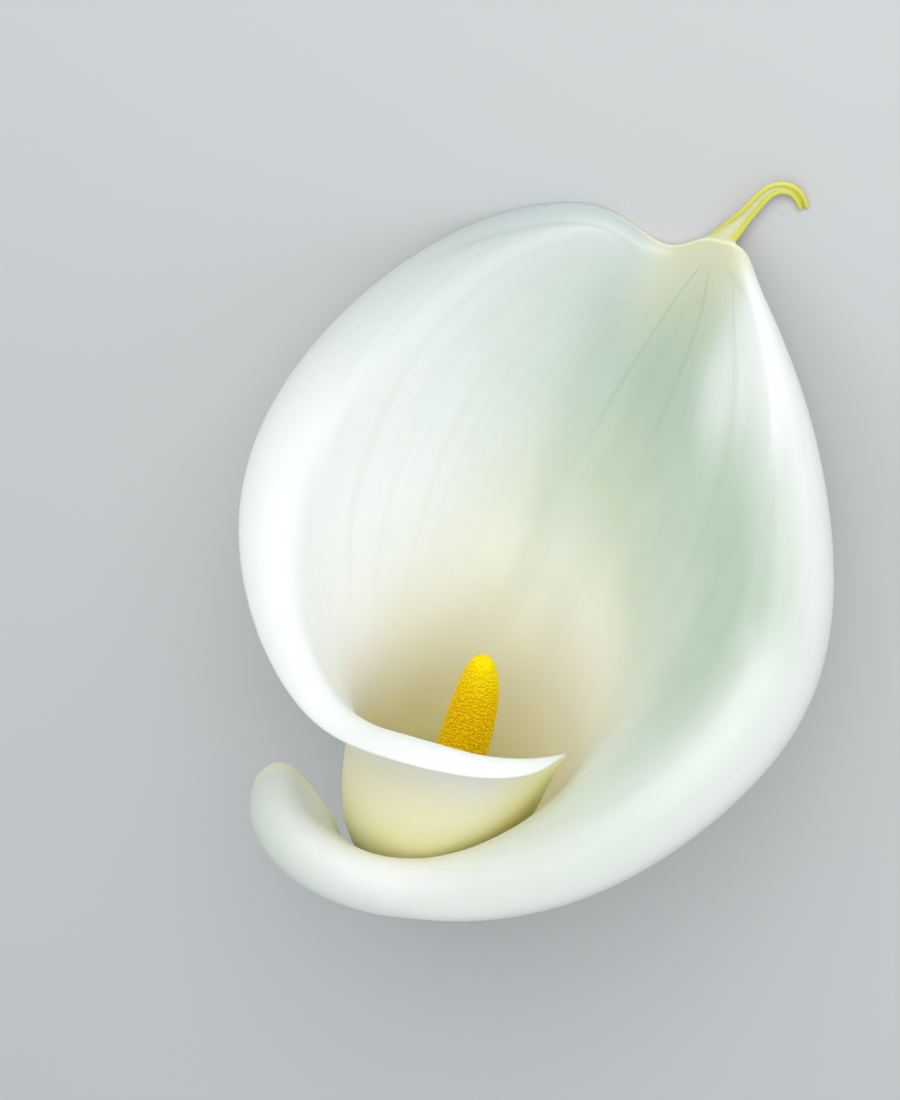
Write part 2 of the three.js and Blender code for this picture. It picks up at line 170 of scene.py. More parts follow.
# The grains that cover it: the heights between which their middles lie, and the share of a grain's
# width that it is sunk in.
ANTHERS_BETWEEN = (ZONE_LINE + 0.0004, SPADIX_TOP - 0.0002)
OVARIES_BETWEEN = (FEMALE_FROM + 0.0006, ZONE_LINE - 0.0006)
ANTHER_SINK = 0.19
OVARY_SINK = 0.2

# They follow a spiral, and stray from it, turn and vary in size a little. The surface is measured
# in AREA_STEPS, and its slope over SLOPE_STEP, in metres.
GOLDEN_ANGLE = math.pi * (3 - math.sqrt(5))
STRAY = 0.45
TWIST = 1.2
SMALLEST = 0.92
SIZE_RANGE = 0.16
AREA_STEPS = 400
SLOPE_STEP = 0.0004
TINY = 1e-6
CELL_SEED = 3.5
OTHER_CELL_SEED = 7.25

# One anther and one ovary, in widths of a grain: its size, and the anther's furrow or the knob of
# the ovary's stigma.
ANTHER_SHAPE = (1, 0.88, 0.6)
FURROW_WIDTH = 0.2
FURROW_DEPTH = 0.05
OVARY_SHAPE = (1, 1, 0.9)
STIGMA_FROM = 0.35
STIGMA_RISE = 0.16
STIGMA_NARROWING = 0.7

# The cut stalk, with its shoulder under the spathe and the core that carries the spadix.
STEM_LENGTH = 0.052
STEM_RADIUS = 0.0052
STEM_CUT_RADIUS = 0.0056
SHOULDER_RADIUS = 0.0074
SHOULDER_HEIGHT = -0.0006
SHOULDER_FADE = 9
CORE_RADIUS = 0.0036
CORE_STEP = 0.0004

# Rings of the cut face, as shares of its radius, and the share of the stalk's length past which it
# is cut face. Ribs of the skin, as height, count and shift, and the radius outside which they rise.
CUT_RINGS = (0.12, 0.35, 0.6, 0.82, 0.97)
CUT_FROM = 0.999
STALK_RIBS = ((0.00006, 18, 0), (0.00005, 7, 1.3))
RIBS_OUTSIDE = CORE_RADIUS + 0.0002

# Scales of the UV maps: the stalk's radius and the veins' distance from the rim, both per metre.
# Nearer to the rim than NEAREST_VEIN the veins' fan spreads no further.
STALK_UV_SCALE = 50
VEIN_UV_SCALE = 10
NEAREST_VEIN = 1e-4

# The lower flower bends back, and the stalk curves gently forward and sideways again.
BEND_FROM = 0.040
BEND_RADIUS = 0.110
STEM_FORWARD_CURVE = 0.500
STEM_SIDE_CURVE = 0.230

# How the flower lies on the floor.
LIE_SPIN = math.radians(7.96)
LIE_PITCH = math.radians(-75)
LIE_TURN = math.radians(180)
LIE_OFFSET = Vector((-0.004306, 0.063737, 0.03984))
LIE = (
    Matrix.Translation(LIE_OFFSET)
    @ Matrix.Rotation(LIE_TURN, 4, "Z")
    @ Matrix.Rotation(LIE_PITCH, 4, "X")
    @ Matrix.Rotation(LIE_SPIN, 4, "Z")
)

# The photograph's camera, in the upright flower's frame.
CAMERA_TARGET = Vector((-0.0165, 0.020, 0.0856))
CAMERA_DISTANCE = 0.520
CAMERA_ABOVE_MOUTH = math.radians(38)
CAMERA_ROLL = math.radians(22)
CAMERA_LENS = 85.1
CAMERA_SENSOR = 36

# The lights, in metres: where the two beside the camera stand, right, up and back from the flower
# as the camera sees it, the height of the one above, and the diameters of all three.
KEY_OFFSET = (-0.1, 0.35, 1.0)
KEY_SIZE = 0.6
FILL_OFFSET = (0.15, 0.2, 0.85)
FILL_SIZE = 0.5
TOP_HEIGHT = 1.3
TOP_SIZE = 1.4


def length_property(name, description, default):
    return FloatProperty(name=name, description=description, default=default, unit="LENGTH")


def power_property(name, description, default):
    return FloatProperty(name=name, description=description, default=default, unit="POWER")


def colour_property(name, description, default):
    return FloatVectorProperty(name=name, description=description, default=default, subtype="COLOR")


class LilySpatheSettings(bpy.types.PropertyGroup):
    """Sizes and colours of the white spathe."""

    foot_thickness: length_property(
        "Foot Thickness", "Thickness of the fleshy foot of the sheet", 0.0014
    )
    rim_thickness: length_property("Rim Thickness", "Thickness of the sheet along its rim", 0.0009)
    ripple: length_property("Ripple", "Height of the soft uneven swellings of the sheet", 0.0004)
    white: colour_property("White", "Colour of the open limb", (0.82, 0.85, 0.82))
    # Painted light: a brighter white mixed into the throat's left wall, where the light meets it.
    lit_white: colour_property(
        "Lit White", "White of the wall that the light meets inside the lip", (0.97, 0.96, 0.90)
    )
    # Painted shade: this greenish grey is mixed into the limb where it turns from the light; a
    # faint random mottle uses it too.
    shade: colour_property(
        "Cool Shade", "Greenish grey of the thinner patches of the limb", (0.42, 0.52, 0.43)
    )
    # Painted shade: this bluish grey darkens the rim that rolls back from the light beside the tip.
    cool: colour_property(
        "Shaded Top Rim", "Bluish grey of the thin rim beside the tip", (0.46, 0.53, 0.53)
    )
    tip_tint: colour_property(
        "Tip Tint", "Yellowish grey where the veins meet below the tail", (0.60, 0.61, 0.42)
    )
    cream: colour_property("Cream", "Colour of the upper throat", (0.86, 0.85, 0.65))
    throat: colour_property(
        "Throat", "Colour deep in the throat and on the tube's outside", (0.94, 0.87, 0.55)
    )
    # Partly painted light: the strong yellow on the tube's inner margin is the margin's own warm
    # tint, brightened to stand in for light shining through the sheet into the crease.
    husk: colour_property(
        "Husk", "Warm yellow outside the tube, strongest on its inner margin", (0.97, 0.85, 0.34)
    )
    foot_green: colour_property(
        "Foot Green", "Colour of the foot, where the spathe joins the stalk", (0.25, 0.40, 0.09)
    )
    tail_yellow: colour_property(
        "Tail Yellow", "Colour of the margins of the tail", (0.62, 0.60, 0.08)
    )
    vein: colour_property(
        "Vein", "Colour of the faint veins that meet at the tip", (0.36, 0.43, 0.33)
    )


class LilySpadixSettings(bpy.types.PropertyGroup):
    """Sizes and colours of the golden spadix."""

    anther_count: IntProperty(
        name="Anthers", description="How many anthers cover the upper zone", default=3000
    )
    anther_size: length_property("Anther Size", "Width of one anther", 0.00098)
    ovary_count: IntProperty(
        name="Ovaries", description="How many ovaries cover the lower zone", default=150
    )
    ovary_size: length_property("Ovary Size", "Width of one ovary", 0.0023)
    gold: colour_property("Gold", "Colour of the anthers", (0.99, 0.56, 0.0))
    pollen: colour_property(
        "Pollen", "Brighter yellow of the tip and of loose pollen", (1.0, 0.71, 0.0)
    )
    ovary: colour_property("Ovary Green", "Colour of the ovaries", (0.55, 0.60, 0.17))


class LilyStalkSettings(bpy.types.PropertyGroup):
    """Sizes and colours of the cut stalk."""

    rings: IntProperty(
        name="Rings", description="How many rings divide the stalk along its length", default=60
    )
    sides: IntProperty(name="Sides", description="How many sides each ring has", default=72)
    green: colour_property("Stalk Green", "Colour of the stalk's skin", (0.20, 0.33, 0.06))
    pale_green: colour_property(
        "Pale Green", "Colour of the stalk's lighter streaks", (0.42, 0.55, 0.18)
    )
    pith: colour_property("Pith", "Colour of the watery pith on the cut end", (0.66, 0.72, 0.42))


class LilyStudioSettings(bpy.types.PropertyGroup):
    """The floor and the lights round the flower."""

    floor_colour: colour_property("Floor", "Colour of the studio floor", (0.58, 0.59, 0.60))
    floor_size: length_property("Floor Size", "Side of the square studio floor", 6.0)
    key_power: power_property("Key Power", "Power of the soft light beside the camera", 3.9)
    fill_power: power_property(
        "Fill Power", "Power of the soft light on the camera's other side", 2.4
    )
    top_power: power_property("Top Power", "Power of the wide softbox above the flower", 0.8)
    sky: FloatProperty(
        name="Sky", description="Strength of the even light from all round", default=0.67
    )


def natural_spline(xs, ys):
    """A smooth curve through the given values, with no curvature at its two ends."""
    count = len(xs)
    second = [0.0] * count
    carried = [0.0] * count
    for i in range(1, count - 1):
        share = (xs[i] - xs[i - 1]) / (xs[i + 1] - xs[i - 1])
        pivot = share * second[i - 1] + 2
        second[i] = (share - 1) / pivot
        after = (ys[i + 1] - ys[i]) / (xs[i + 1] - xs[i])
        before = (ys[i] - ys[i - 1]) / (xs[i] - xs[i - 1])
        change = 6 * (after - before) / (xs[i + 1] - xs[i - 1])
        carried[i] = (change - share * carried[i - 1]) / pivot
    for i in range(count - 2, -1, -1):
        second[i] = second[i] * second[i + 1] + carried[i]

    def value(x):
        i = 1
        while i < count - 1 and x > xs[i]:
            i += 1
        width = xs[i] - xs[i - 1]
        a = (xs[i] - x) / width
        b = (x - xs[i - 1]) / width
        bulge = ((a**3 - a) * second[i - 1] + (b**3 - b) * second[i]) * width**2 / 6
        return a * ys[i - 1] + b * ys[i] + bulge

    return value


RIB_ANGLES = [rib[0] for rib in RIBS]
CREST_RADIUS, CREST_HEIGHT, LEAN, ROLL_RADIUS, ROLL, LEAVE = (
    natural_spline(RIB_ANGLES, [rib[column] for rib in RIBS]) for column in range(1, 7)
)


def smooth(value):
    """Eases from 0 to 1 as value goes from 0 to 1."""
    held = min(1.0, max(0.0, value))
    return held * held * (3 - 2 * held)


def mix(a, b, share):
    """The number or vector that lies share of the way from a to b."""
    return a + (b - a) * share


def tube_radius(z):
    return TUBE_FOOT_RADIUS + TUBE_BELLY * (1 - math.exp(-z / TUBE_BELLY_HEIGHT)) + TUBE_CONE * z


def tube_slope(z):
    return TUBE_BELLY / TUBE_BELLY_HEIGHT * math.exp(-z / TUBE_BELLY_HEIGHT) + TUBE_CONE


def rib_point(angle, share):
    """Radius and height of the sheet at an angle and a share of the way up its rib."""
    lean = math.radians(LEAN(angle))
    crest = Vector((CREST_RADIUS(angle), CREST_HEIGHT(angle)))
    gain = TUBE_GAIN_PER_TURN * angle / 360
    tube_top = LEAVE(angle) * crest.y
    if share <= TUBE_SHARE:
        z = tube_top * share / TUBE_SHARE
        return Vector((tube_radius(z) + gain * smooth(z / GAIN_HEIGHT), z))
    if share <= LIMB_SHARE:
        start = Vector((tube_radius(tube_top) + gain, tube_top))
        reach = (crest - start).length * LIMB_HANDLE
        leave = start + Vector((tube_slope(tube_top), 1)).normalized() * reach
        arrive = crest - Vector((math.sin(lean), math.cos(lean))) * reach
        t = (share - TUBE_SHARE) / (LIMB_SHARE - TUBE_SHARE)
        s = 1 - t
        return start * s**3 + leave * (3 * s * s * t) + arrive * (3 * s * t * t) + crest * t**3
    roll_radius = ROLL_RADIUS(angle)
    turn = lean + math.radians(ROLL(angle)) * (share - LIMB_SHARE) / (1 - LIMB_SHARE)
    across = math.cos(lean) - math.cos(turn)
    up = math.sin(turn) - math.sin(lean)
    return crest + Vector((across, up)) * roll_radius


def lobe_pull(rim_angle, share):
    """By how many degrees the outer margin draws back beside the lobe."""
    near = smooth((rim_angle - LOBE_FROM) / (RIB_ANGLES[-1] - LOBE_FROM))
    away = smooth(abs(share - LOBE_MIDDLE) / LOBE_HALF)
    return LOBE_PULL * near * smooth(share / FULL_WRAP_SHARE) * away**LOBE_POWER


def sheet_point(rim_angle, share):
    """A point of the middle of the sheet, named by the angle at which its rib meets the rim."""
    wrap = mix(FOOT_WRAP, 1, smooth(share / FULL_WRAP_SHARE))
    angle = (rim_angle - lobe_pull(rim_angle, share)) * wrap
    radius, height = rib_point(angle, share)
    turn = math.radians(angle)
    return Vector((radius * math.sin(turn), radius * math.cos(turn), height))


def tail_point(across, along, root):
    """A point of the middle of the tail: across goes from -1 to 1, along from 0 to 1."""
    centre = root.copy()
    turn = 0
    for step in range(TAIL_TRACE_STEPS):
        here = along * (step + 0.5) / TAIL_TRACE_STEPS
        turn = TAIL_CURL * smooth((here - TAIL_CURL_FROM) / (1 - TAIL_CURL_FROM))
        heading = TAIL_RUN * math.cos(turn) + TAIL_SIDE * math.sin(turn)
        centre += heading * (TAIL_LENGTH * along / TAIL_TRACE_STEPS)
    sideways = TAIL_SIDE * math.cos(turn) - TAIL_RUN * math.sin(turn)
    front = TAIL_SIDE.cross(TAIL_RUN)
    radius = mix(TAIL_HALF_WIDTH, TAIL_END_HALF_WIDTH, along) / TAIL_FOLD
    centre += sideways * (radius * math.sin(across * TAIL_FOLD))
    return centre + front * (radius * (1 - math.cos(across * TAIL_FOLD)))


def bend(point):
    """Bends the lower flower and its stalk backwards, from the middle of the tube down."""
    if point.z >= BEND_FROM:
        return point.copy()
    turn = (BEND_FROM - max(point.z, 0)) / BEND_RADIUS
    arm = BEND_RADIUS - point.y
    below = max(-point.z, 0)
    y = BEND_RADIUS - arm * math.cos(turn) + below * math.sin(turn)
    z = BEND_FROM - arm * math.sin(turn) - below * math.cos(turn)
    return Vector((point.x, y, z))


def settle(point):
    """Where a point of the upright flower is once the flower lies on the floor."""
    return LIE @ bend(point)


def spread(start, end, step):
    """Even values from start to end, about one step apart."""
    count = round(abs(end - start) / step)
    return [start + (end - start) * i / count for i in range(count + 1)]


def spread_between(marks, steps):
    """Even values from each mark to the next, each stretch with a step of its own."""
    values = [marks[0]]
    for start, end, step in zip(marks, marks[1:], steps):
        values += spread(start, end, step)[1:]
    return values


def rim_angles():
    """The angles at which the sheet's ribs meet the rim, closer together round the tip."""
    sides = (-TIP_SIDE_ANGLE, -TAIL_HALF_ANGLE, TAIL_HALF_ANGLE, TIP_SIDE_ANGLE)
    marks = (RIB_ANGLES[0], *(TIP_ANGLE + side for side in sides), RIB_ANGLES[-1])
    return spread_between(marks, (RIM_STEP, TIP_SIDE_STEP, TAIL_STEP, TIP_SIDE_STEP, RIM_STEP))


def row_shares():
    """The shares at which the sheet's rows cross a rib, in its tube, its limb and its roll."""
    marks = (0, TUBE_SHARE, LIMB_SHARE, 1)
    rows = (TUBE_ROWS, LIMB_ROWS, ROLL_ROWS)
    steps = [(end - start) / count for start, end, count in zip(marks, marks[1:], rows)]
    return spread_between(marks, steps)


def start_piece():
    """Leaves edit mode and deselects all, so that the next operator acts on its own piece."""
    if bpy.context.object and bpy.context.object.mode != "OBJECT":
        bpy.ops.object.mode_set(mode="OBJECT")
    bpy.ops.object.select_all(action="DESELECT")


def finish_piece(piece, name, node):
    """Names a finished piece and puts it on the flower's body in place of its CAD node."""
    piece.name = name
    piece.data.name = name
    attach(piece, "root")
    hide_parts(node)


def press_flat(mesh):
    """Presses soft tissue flat where it bears on the floor."""
    for vertex in mesh.vertices:
        vertex.co.z = max(vertex.co.z, 0)


def apply_modifiers(piece):
    bpy.context.view_layer.objects.active = piece
    for modifier in list(piece.modifiers):
        bpy.ops.object.modifier_apply(modifier=modifier.name)


def write_uv(mesh, name, values):
    """Writes a UV map that gives each vertex its own pair of values."""
    layer = mesh.uv_layers.get(name) or mesh.uv_layers.new(name=name)
    for loop in mesh.loops:
        layer.data[loop.index].uv = values[loop.vertex_index]


def draw_spathe_chart(angles, shares):
    """Draws the spathe flat: x counts its ribs, y its rows, with the tail's rows on top.

    Returns the piece and the numbers of the ribs that the tail goes on from.
    """
    start_piece()
    columns, rows = len(angles) - 1, len(shares) - 1
    bpy.ops.mesh.primitive_grid_add(x_subdivisions=columns, y_subdivisions=rows, size=1)
    piece = bpy.context.object
    for vertex in piece.data.vertices:
        column = round((vertex.co.x + 0.5) * columns)
        row = round((vertex.co.y + 0.5) * rows)
        vertex.co = (column, row, 0)
    reach = TAIL_HALF_ANGLE + TINY
    tail = [i for i, angle in enumerate(angles) if abs(angle - TIP_ANGLE) <= reach]
    bpy.ops.object.mode_set(mode="EDIT")
    bpy.ops.mesh.select_mode(type="EDGE")
    bpy.ops.mesh.select_all(action="DESELECT")
    chart = bmesh.from_edit_mesh(piece.data)
    for edge in chart.edges:
        ends = [vertex.co for vertex in edge.verts]
        on_top = all(abs(end.y - rows) < 0.5 for end in ends)
        edge.select = on_top and all(tail[0] - 0.5 < end.x < tail[-1] + 0.5 for end in ends)
    chart.select_flush(True)
    bmesh.update_edit_mesh(piece.data)
    for _ in range(TAIL_ROWS):
        bpy.ops.mesh.extrude_edges_move(TRANSFORM_OT_translate={"value": (0, 1, 0)})
    bpy.ops.object.mode_set(mode="OBJECT")
    return piece, tail


def rib_lengths(angles, shares):
    """How far each point of the sheet is from the rim along its rib, and each rib from the tip."""
    from_rim = []
    from_tip = [0.0]
    for angle in angles:
        points = [sheet_point(angle, share) for share in shares]
        left = [0.0]
        for i in range(len(points) - 1, 0, -1):
            left.append(left[-1] + (points[i] - points[i - 1]).length)
        from_rim.append(left[::-1])
    ends = [sheet_point(angle, shares[-1]) for angle in angles]
    for end, next_end in zip(ends, ends[1:]):
        from_tip.append(from_tip[-1] + (next_end - end).length)
    tip = min(range(len(angles)), key=lambda i: abs(angles[i] - TIP_ANGLE))
    return from_rim, [length - from_tip[tip] for length in from_tip]


def roll_up_spathe(piece, angles, shares, tail, settings):
    """Moves every point of the flat chart to its place, and records chart and veins as UV maps."""
    rows = len(shares) - 1
    from_rim, from_tip = rib_lengths(angles, shares)
    root = sheet_point(TIP_ANGLE, 1)
    chart_uv = []
    vein_uv = []
    thickness = []
    left, right = angles[0], angles[-1]
    for vertex in piece.data.vertices:
        column, row = round(vertex.co.x), round(vertex.co.y)
        angle = angles[column]
        around = (angle - left) / (right - left)
        if row <= rows:
            share = shares[row]
            vertex.co = settle(sheet_point(angle, share))
            side = abs(angle) / right
            thinning = 1 - SIDE_THINNING * min(1, side**SIDE_THINNING_POWER)
            thickness.append(mix(settings.foot_thickness, settings.rim_thickness, share) * thinning)
            below_rim = from_rim[column][row]
            vein = math.atan2(from_tip[column], max(below_rim, NEAREST_VEIN)) / math.pi + 0.5
            vein_uv.append((vein, below_rim * VEIN_UV_SCALE))
            chart_uv.append((around, share))
        else:
            along = (row - rows) / TAIL_ROWS
            across = 2 * (column - tail[0]) / (tail[-1] - tail[0]) - 1
            straight = sheet_point(angle, 1) + TAIL_RUN * (TAIL_LENGTH * along)
            curled = tail_point(across, along, root)
            vertex.co = settle(mix(straight, curled, smooth(along / TAIL_JOIN_SHARE)))
            thickness.append(TAIL_THICKNESS)
            vein_uv.append((0.5 + 0.5 * across, -along))
            chart_uv.append((0.5 + 0.5 * across, 1 + along))
    write_uv(piece.data, "chart", chart_uv)
    write_uv(piece.data, "veins", vein_uv)
    group = piece.vertex_groups.new(name="thickness")
    for index, value in enumerate(thickness):
        group.add([index], value / settings.foot_thickness, "REPLACE")


def ripple_spathe(mesh, height):
    """Swells the sheet a little unevenly, more towards its rim, as a grown leaf does."""
    shares = mesh.uv_layers["chart"].data
    rise = {loop.vertex_index: shares[loop.index].uv.y for loop in mesh.loops}
    normals = [vertex.normal.copy() for vertex in mesh.vertices]
    for vertex, normal in zip(mesh.vertices, normals):
        share = rise[vertex.index]
        if share <= 1:
            fine = FINE_SWELL_HEIGHT * noise.noise(vertex.co * FINE_SWELLS)
            swell = noise.noise(vertex.co * BROAD_SWELLS) + fine
            fade = smooth(share * SWELL_FADE_FOOT) * smooth((1 - share) * SWELL_FADE_RIM)
            vertex.co += normal * (height * swell * fade)


def build_spathe(settings):
    angles, shares = rim_angles(), row_shares()
    piece, tail = draw_spathe_chart(angles, shares)
    piece.data.uv_layers[0].name = "chart"
    roll_up_spathe(piece, angles, shares, tail, settings)
    ripple_spathe(piece.data, settings.ripple)
    groups = petal_zones(), petal_veins()
    for name, inside in (("petal_inside", True), ("petal_outside", False)):
        piece.data.materials.append(petal_material(name, settings, groups, inside))
    sheet = piece.modifiers.new("Sheet", "SOLIDIFY")
    sheet.thickness = settings.foot_thickness
    sheet.offset = 0
    sheet.vertex_group = "thickness"
    sheet.material_offset = 1
    finer = piece.modifiers.new("Finer", "SUBSURF")
    finer.levels = finer.render_levels = 1
    apply_modifiers(piece)
    piece.vertex_groups.clear()
    bpy.ops.object.shade_smooth()
    press_flat(piece.data)
    finish_piece(piece, "white_spathe", "spathe")


def spadix_radius(z):
    share = min(1.0, max(0.0, (z - ZONE_LINE) / (SPADIX_TOP - ZONE_LINE)))
    return SPADIX_RADIUS * (1 - share**SPADIX_TAPER_POWER) ** SPADIX_ROUNDING


def spadix_axis(z):
    """The spadix leans a little to the side as it rises."""
    share = max(0.0, (z - FEMALE_FROM) / (SPADIX_TOP - FEMALE_FROM)) ** SPADIX_LEAN_POWER
    return Vector((mix(SPADIX_LEAN_FROM, SPADIX_LEAN_TO, share), 0, z))


def turned_body(rings, sides):
    """A closed body from rings of (radius, height), drawn upward ring by ring and capped."""
    start_piece()
    radius, height = rings[0]
    bpy.ops.mesh.primitive_circle_add(
        vertices=sides, radius=radius, fill_type="NGON", location=(0, 0, height)
    )
    piece = bpy.context.object
    bpy.ops.object.transform_apply(location=True, rotation=True, scale=True)
    bpy.ops.object.mode_set(mode="EDIT")
    bpy.ops.mesh.select_all(action="SELECT")
    for next_radius, next_height in rings[1:]:
        rise = (0, 0, next_height - height)
        bpy.ops.mesh.extrude_region_move(TRANSFORM_OT_translate={"value": rise})
        scale = next_radius / radius
        bpy.ops.transform.resize(value=(scale, scale, 1), center_override=(0, 0, next_height))
        radius, height = next_radius, next_height
    bpy.ops.mesh.select_all(action="SELECT")
    bpy.ops.mesh.normals_make_consistent(inside=False)
    bpy.ops.object.mode_set(mode="OBJECT")
    return piece


def grain_template(name, segments, rings, size):
    """One small rounded grain, to be set many times on the spadix."""
    start_piece()
    bpy.ops.mesh.primitive_uv_sphere_add(segments=segments, ring_count=rings, radius=0.5)
    grain = bpy.context.object
    grain.name = name
    bpy.ops.object.mode_set(mode="EDIT")
    bpy.ops.mesh.select_all(action="SELECT")
    bpy.ops.transform.resize(value=size)
    bpy.ops.object.mode_set(mode="OBJECT")
    return grain


def shape_anther(size):
    """An anther seen end on: a squarish cushion with a furrow between its two pollen sacs."""
    grain = grain_template("one_anther", 8, 4, [size * part for part in ANTHER_SHAPE])
    for vertex in grain.data.vertices:
        if vertex.co.z > 0:
            furrow = math.exp(-((vertex.co.x / (size * FURROW_WIDTH)) ** 2))
            vertex.co.z -= size * FURROW_DEPTH * furrow
    return grain


def shape_ovary(size):
    """A round ovary with the small knob of its stigma."""
    grain = grain_template("one_ovary", 10, 7, [size * part for part in OVARY_SHAPE])
    for vertex in grain.data.vertices:
        if vertex.co.z > size * STIGMA_FROM:
            vertex.co.z += size * STIGMA_RISE
            vertex.co.x *= STIGMA_NARROWING
            vertex.co.y *= STIGMA_NARROWING
    return grain


def surface_below(bottom, top):
    """Heights from bottom to top, and how much of the spadix's surface lies below each of them."""
    heights = spread(bottom, top, (top - bottom) / AREA_STEPS)
    areas = [0.0]
    for low, high in zip(heights, heights[1:]):
        slant = math.hypot(high - low, spadix_radius(high) - spadix_radius(low))
        areas.append(areas[-1] + slant * (spadix_radius(low) + spadix_radius(high)))
    return heights, areas


def grain_place(angle, z, random_share, sink):
    """Where the middle of a grain lies, and how the grain is turned to stand on the spadix."""
    radius = spadix_radius(z)
    ahead = min(z + SLOPE_STEP, SPADIX_TOP - TINY)
    slope = (spadix_radius(ahead) - radius) / max(ahead - z, TINY)
    outward = Vector((math.cos(angle), math.sin(angle), -slope)).normalized()
    place = Vector((radius * math.cos(angle), radius * math.sin(angle), z)) - outward * sink
    twist = Matrix.Rotation(angle + TWIST * random_share, 3, outward)
    return place, twist @ outward.to_track_quat("Z", "Y").to_matrix()


def cover_with(core, grain, count, between_heights, size, sink):
    """Joins copies of the grain to the core, set in a spiral between two heights of the spadix.

    The "spadix" UV map gets a random share that is each grain's own, and the height on the spadix.
    """
    bottom, top = between_heights
    heights, areas = surface_below(bottom, top)
    body = bmesh.new()
    body.from_mesh(core.data)
    layer = body.loops.layers.uv.new("spadix")
    for face in body.faces:
        for loop in face.loops:
            loop[layer].uv = (0.5, loop.vert.co.z / SPADIX_TOP)
    corners = [vertex.co.copy() for vertex in grain.data.vertices]
    faces = [tuple(face.vertices) for face in grain.data.polygons]
    step = 0
    for i in range(count):
        wanted = areas[-1] * (i + 0.5) / count
        while areas[step + 1] < wanted:
            step += 1
        share = (wanted - areas[step]) / (areas[step + 1] - areas[step])
        random_share = noise.cell(Vector((i, CELL_SEED, OTHER_CELL_SEED)))
        stray = noise.cell(Vector((OTHER_CELL_SEED, i, CELL_SEED))) - 0.5
        z = mix(heights[step], heights[step + 1], share) + (random_share - 0.5) * size * STRAY
        z = min(top, max(bottom, z))
        angle = i * GOLDEN_ANGLE + stray * size * STRAY / SPADIX_RADIUS
        place, turn = grain_place(angle, z, random_share, sink)
        growth = SMALLEST + SIZE_RANGE * random_share
        points = [body.verts.new(place + turn @ (corner * growth)) for corner in corners]
        for face in faces:
            made = body.faces.new([points[index] for index in face])
            for loop in made.loops:
                loop[layer].uv = (random_share, z / SPADIX_TOP)
    body.to_mesh(core.data)
    body.free()
    bpy.data.objects.remove(grain)


def smooth_piece(piece, *materials):
    """Gives a piece its materials and shades it smooth."""
    for material in materials:
        piece.data.materials.append(material)
    start_piece()
    piece.select_set(True)
    bpy.context.view_layer.objects.active = piece
    bpy.ops.object.shade_smooth()


def build_zone(core_heights, depth, grain_between, sink, shape, count, size):
    """Builds one zone of the spadix in place: a core, covered with grains sunk in by a share."""
    core = turned_body([(spadix_radius(z) - depth, z) for z in core_heights], CORE_SIDES)
    cover_with(core, shape(size), count, grain_between, size, size * sink)
    for vertex in core.data.vertices:
        lean = spadix_axis(vertex.co.z)
        vertex.co = settle(Vector((vertex.co.x + lean.x, vertex.co.y, vertex.co.z)))
    return core


def build_anthers(settings):
    heights = spread(ZONE_LINE, SPADIX_TOP - ANTHER_CORE_END, ANTHER_RING_STEP)
    looks = (shape_anther, settings.anther_count, settings.anther_size)
    piece = build_zone(heights, ANTHER_CORE_DEPTH, ANTHERS_BETWEEN, ANTHER_SINK, *looks)
    smooth_piece(piece, anther_material(settings))
    finish_piece(piece, "golden_anthers", "spadix_male_zone")


def build_ovaries(settings):
    heights = spread(FEMALE_FROM - OVARY_CORE_END, ZONE_LINE, OVARY_RING_STEP)
    looks = (shape_ovary, settings.ovary_count, settings.ovary_size)
    piece = build_zone(heights, OVARY_CORE_DEPTH, OVARIES_BETWEEN, OVARY_SINK, *looks)
    smooth_piece(piece, ovary_material(settings))
    finish_piece(piece, "pale_ovaries", "spadix_female_zone")


def stalk_radius(z):
    down = -z / STEM_LENGTH
    shoulder = (SHOULDER_RADIUS - STEM_RADIUS) * math.exp(-down * SHOULDER_FADE)
    return mix(STEM_RADIUS, STEM_CUT_RADIUS, down) + shoulder


def build_stalk(settings):
    heights = spread(-STEM_LENGTH, SHOULDER_HEIGHT, STEM_LENGTH / settings.rings)
    cut = [(STEM_CUT_RADIUS * share, -STEM_LENGTH) for share in CUT_RINGS]
    skin = [(stalk_radius(z), z) for z in heights[1:]]
    core = [(CORE_RADIUS, SHOULDER_HEIGHT + CORE_STEP), (CORE_RADIUS, FEMALE_FROM)]
    piece = turned_body(cut + skin + core, settings.sides)
    mesh = piece.data
    stalk_uv = []
    for vertex in mesh.vertices:
        point = vertex.co.copy()
        radius = math.hypot(point.x, point.y)
        stalk_uv.append((0.5 + radius * STALK_UV_SCALE, -point.z / STEM_LENGTH))
        if radius > RIBS_OUTSIDE:
            turn = math.atan2(point.y, point.x)
            rib = sum(rise * math.sin(turn * count + shift) for rise, count, shift in STALK_RIBS)
            point.x += rib * math.cos(turn)
            point.y += rib * math.sin(turn)
        below = min(point.z, 0)
        point.x += below**2 / (2 * STEM_SIDE_CURVE)
        point.y -= below**2 / (2 * STEM_FORWARD_CURVE)
        vertex.co = settle(point)
    write_uv(mesh, "stalk", stalk_uv)
    press_flat(mesh)
    smooth_piece(piece, stalk_material(settings), pith_material(settings))
    for polygon in mesh.polygons:
        on_cut = all(stalk_uv[index][1] > CUT_FROM for index in polygon.vertices)
        polygon.material_index = int(on_cut)
    finish_piece(piece, "cut_stalk", "stem")


def new_material(name):
    """A material with a bare Principled shader: returns it and its node tree."""
    material = bpy.data.materials.new(name)
    material.use_nodes = True
    return material, material.node_tree


def add_node(tree, kind, **settings):
    """Adds a node and sets its properties, such as an operation, by name."""
    node = tree.nodes.new(kind)
    for name, value in settings.items():
        setattr(node, name, value)
    return node


def set_inputs(node, **values):
    """Sets a node's inputs by name, with spaces written as underscores."""
    for name, value in values.items():
        node.inputs[name.replace("_", " ")].default_value = value


